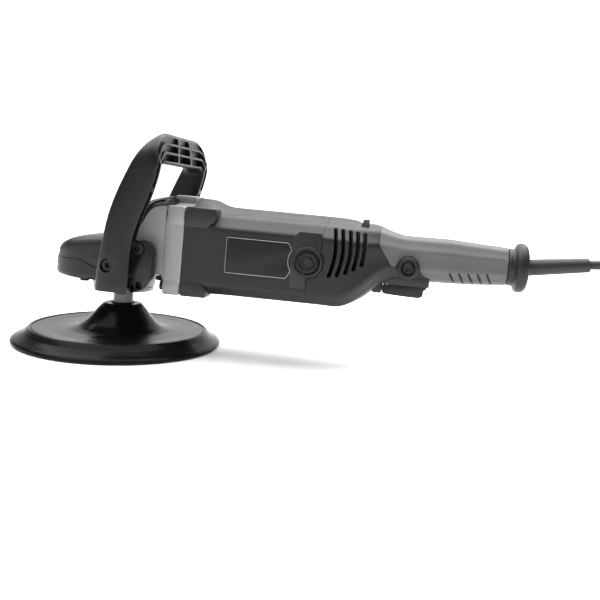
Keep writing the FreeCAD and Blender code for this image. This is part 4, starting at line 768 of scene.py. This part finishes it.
trigger_line = [(TRIGGER_X, 70.6), (TRIGGER_X + 2, 69.4), (TRIGGER_X + 18, 68.6),
                (TRIGGER_X + 33, 68.4), (TRIGGER_X + 36.2, 70.2), (TRIGGER_X + 36.6, 75.6),
                (TRIGGER_X + 39.2, 76.6), (TRIGGER_X + 39.2, 83.2), (TRIGGER_X + 10, 82.4),
                (TRIGGER_X + 4, 80.4), (TRIGGER_X, 77.6)]
trigger = side_prism("trigger_skin", [tuple(p) for p in softened(trigger_line, 1.2, 3, True)],
                     -TRIGGER_HALF, TRIGGER_HALF, SATIN, 1.1)
rides(trigger, "trigger", "black_plastic", "trigger")
button = turned("lock_button_skin", [(0, 0), (5.2, 0), (5.2, 8.6), (4.4, 9.8), (2.4, 9.6), (0, 9.3)],
                along(LOCK_X, -12.6, LOCK_Z, (0, -1, 0)), SATIN, 0.6, 64)
rides(button, "lock_button", "black_plastic", "lock_button")
teeth = []
for i in range(144):
    a = 2 * math.pi * i / 144
    r = 13.0 - (0.7 if i % 4 in (0, 1) else 0.0)
    teeth.append((r * math.cos(a), r * math.sin(a)))
place = along(DIAL_X, 0, DIAL_Z, (1, 0, 0))
dial = tube("speed_dial_skin", [[place @ Vector((x * s, y * s, d)) for x, y in teeth]
                                for s, d in ((0.95, -2.8), (1.0, -2.2), (1.0, 2.2), (0.95, 2.8))], SATIN)
rides(dial, "speed_dial", "black_plastic", "speed_dial")


# ---------------------------------------------------------------- cord exit and cord

collar_profile = [(5.3, 0), (15.8, 0), (16.4, 1.0), (16.4, 4.6), (17.2, 5.8), (20.6, 7.2), (21.8, 9.4),
                  (22.0, 12.0), (21.4, 14.6), (19.2, 16.8), (15.4, 18.0), (9.6, 18.2), (8.7, 17.6),
                  (8.7, 10.9), (5.3, 10.9), (5.3, 0.1)]
collar = turned("cord_collar_skin", collar_profile, along(346.2, 0, 103.4, (1, 0, 0)), DARK, 1.2, 96)
rides(collar, "body", "dark_plastic", "cord_collar")
slope = math.atan2(7.4, 54.0)
sleeve_way = (math.cos(slope), 0, math.sin(slope))
sleeve_profile = [(4.1, 0), (7.5, 0), (7.42, 6.0), (6.3, 58.6), (5.9, 59.8), (4.1, 60.0), (4.1, 0.1)]
sleeve = turned("cord_sleeve_skin", sleeve_profile, along(358.5, 0, 103.6, sleeve_way), RUBBER, 0.8, 64)
rides(sleeve, "body", "black_rubber", "cord_sleeve")

CORD_ROUTE = [(418.0, 0.0, 111.9), (442.5, 0.0, 114.8), (466.6, 0.5, 105.2), (483.3, 1.5, 85.0),
              (490.0, 4.0, 58.0), (492.0, 16.0, 40.0), (493.0, 38.0, 27.6), (493.0, 62.0, 22.0),
              (493.0, 84.0, 21.4)]
COIL_X, COIL_Y = 537.0, 90.0
PLUG_X = 589.0
CORD_RADIUS = 4.0
TURN_POINTS = 24
# the cells that the cord takes in turn: radius of the turn and height of its centre
CELLS = [(44.0, 21.4), (35.2, 21.4), (35.0, 13.3), (35.0, 5.2), (43.0, 5.2), (43.0, 13.3),
         (51.0, 13.3), (51.0, 5.2), (51.6, 6.4)]


def coil_points():
    """Centre line of the wound turns, clockwise from the left; each turn eases into the next cell."""
    points = []
    turns = len(CELLS) - 0.5
    for i in range(1, int(turns * TURN_POINTS) + 1):
        run = i / TURN_POINTS
        index = min(int(run), len(CELLS) - 1)
        share = run - index
        begin = 0.40 - 0.045 * index
        ease = min(1.0, max(0.0, (share - begin) / 0.22))
        ease = ease * ease * (3 - 2 * ease)
        here, then = CELLS[index], CELLS[min(index + 1, len(CELLS) - 1)]
        radius, height = (h + (t - h) * ease for h, t in zip(here, then))
        angle = math.pi - 2 * math.pi * run
        points.append((COIL_X + radius * math.cos(angle), COIL_Y + radius * math.sin(angle), height))
    return points


route = CORD_ROUTE + coil_points() + [(PLUG_X, 82.0, 6.4), (PLUG_X, 70.0, 6.4)]
curve = bpy.data.curves.new("power_cord_lead", "CURVE")
curve.dimensions = "3D"
curve.bevel_depth = CORD_RADIUS * MM
curve.bevel_resolution = 5
curve.resolution_u = 6
spline = curve.splines.new("NURBS")
spline.points.add(len(route) - 1)
for point, (x, y, z) in zip(spline.points, route):
    point.co = (x * MM, y * MM, z * MM, 1)
spline.order_u = 3
spline.use_endpoint_u = True
curve.materials.append(RUBBER)
lead = bpy.data.objects.new("power_cord_lead", curve)
bpy.context.scene.collection.objects.link(lead)
rides(lead, "body", "black_rubber", "power_cord", "cord_coil")

plug_rings = []
for y, w, h, z in ((71.0, 4.9, 4.9, 6.5), (66.0, 5.2, 5.2, 6.7), (52.0, 6.2, 6.0, 7.2),
                   (46.0, 8.0, 6.8, 7.8), (40.0, 12.6, 7.4, 8.0), (34.0, 16.2, 7.7, 8.0),
                   (26.0, 17.3, 7.9, 8.0), (19.0, 17.4, 7.9, 8.0), (18.0, 16.6, 7.2, 8.0)):
    ring = []
    for a in np.arange(48) * 2 * math.pi / 48:
        c, s = math.cos(a), math.sin(a)
        ring.append((PLUG_X + w * math.copysign(abs(c) ** 0.6, c), y,
                     z + h * math.copysign(abs(s) ** 0.6, s)))
    plug_rings.append(ring)
plug = tube("plug_body_skin", plug_rings, RUBBER)
rides(plug, "body", "black_rubber", "plug_body")


# ---------------------------------------------------------------- floor, light and camera

def studio_material():
    made = bpy.data.materials.new("pale_studio_paper")
    made.use_nodes = True
    tree = made.node_tree
    shader = tree.nodes["Principled BSDF"]
    shader.inputs["Roughness"].default_value = 0.9
    shader.inputs["Specular IOR Level"].default_value = 0.1
    noise = tree.nodes.new("ShaderNodeTexNoise")
    noise.inputs["Scale"].default_value = 3.0
    ramp = tree.nodes.new("ShaderNodeValToRGB")
    ramp.color_ramp.elements[0].color = (0.93, 0.93, 0.93, 1)
    ramp.color_ramp.elements[1].color = (0.96, 0.96, 0.96, 1)
    tree.links.new(noise.outputs["Fac"], ramp.inputs["Fac"])
    tree.links.new(ramp.outputs["Color"], shader.inputs["Base Color"])
    return made


sweep = [(-2500, -0.2), (2000, -0.2)]
sweep += [(2000 + 800 * math.sin(a), 799.8 - 800 * math.cos(a)) for a in np.linspace(0.1, math.pi / 2, 12)]
sweep += [(2800, 4000)]
vertices = [(x, y, z) for x in (-6000, 6500) for y, z in sweep]
count = len(sweep)
faces = [(i, i + 1, count + i + 1, count + i) for i in range(count - 1)]
paper = piece("studio_paper", vertices, faces, studio_material(), 60)


def area_light(name, place, target, size_x, size_y, power):
    light = bpy.data.lights.new(name, "AREA")
    light.shape = "RECTANGLE"
    light.size, light.size_y = size_x, size_y
    light.energy = power
    lamp = bpy.data.objects.new(name, light)
    bpy.context.scene.collection.objects.link(lamp)
    lamp.location = place
    lamp.rotation_euler = (Vector(target) - Vector(place)).to_track_quat("-Z", "Y").to_euler()


area_light("overhead_softbox", (0.1, 0.3, 1.5), (0.2, 0.1, 0.0), 3.2, 2.0, 110)
area_light("front_fill", (-0.9, -1.5, 0.9), (0.1, 0, 0.1), 0.9, 0.9, 2)
area_light("backdrop_light", (-0.3, 1.2, 1.7), (-0.3, 2.7, 0.8), 6.0, 1.2, 105)

world = bpy.data.worlds.new("studio_room")
bpy.context.scene.world = world
world.use_nodes = True
world.node_tree.nodes["Background"].inputs["Color"].default_value = (1, 1, 1, 1)
world.node_tree.nodes["Background"].inputs["Strength"].default_value = 0.13
bpy.context.scene.view_settings.view_transform = "Standard"

PITCH, YAW, ROLL = 2.68, 3.6, 5.36
camera = bpy.data.cameras.new("photo_view")
camera.sensor_width = 36.0
camera.lens = 39.708
camera.shift_x, camera.shift_y = -0.135, -0.11
camera.clip_start, camera.clip_end = 0.01, 50
eye = bpy.data.objects.new("photo_view", camera)
bpy.context.scene.collection.objects.link(eye)
p, w, r = (math.radians(a) for a in (PITCH, YAW, ROLL))
# world axes seen by a level camera that looks along +Y: x right, y down, z away
level = Matrix(((1, 0, 0), (0, 0, -1), (0, 1, 0)))
about_x = Matrix(((1, 0, 0), (0, math.cos(p), -math.sin(p)), (0, math.sin(p), math.cos(p))))
about_y = Matrix(((math.cos(w), 0, math.sin(w)), (0, 1, 0), (-math.sin(w), 0, math.cos(w))))
about_z = Matrix(((math.cos(r), -math.sin(r), 0), (math.sin(r), math.cos(r), 0), (0, 0, 1)))
to_camera = about_z @ about_x @ about_y @ level
flip = Matrix(((1, 0, 0), (0, -1, 0), (0, 0, -1)))
EYE = (0.2695, -0.5919, 0.1494)
eye.matrix_world = Matrix.Translation(EYE) @ (flip @ to_camera).transposed().to_4x4()
bpy.context.scene.camera = eye
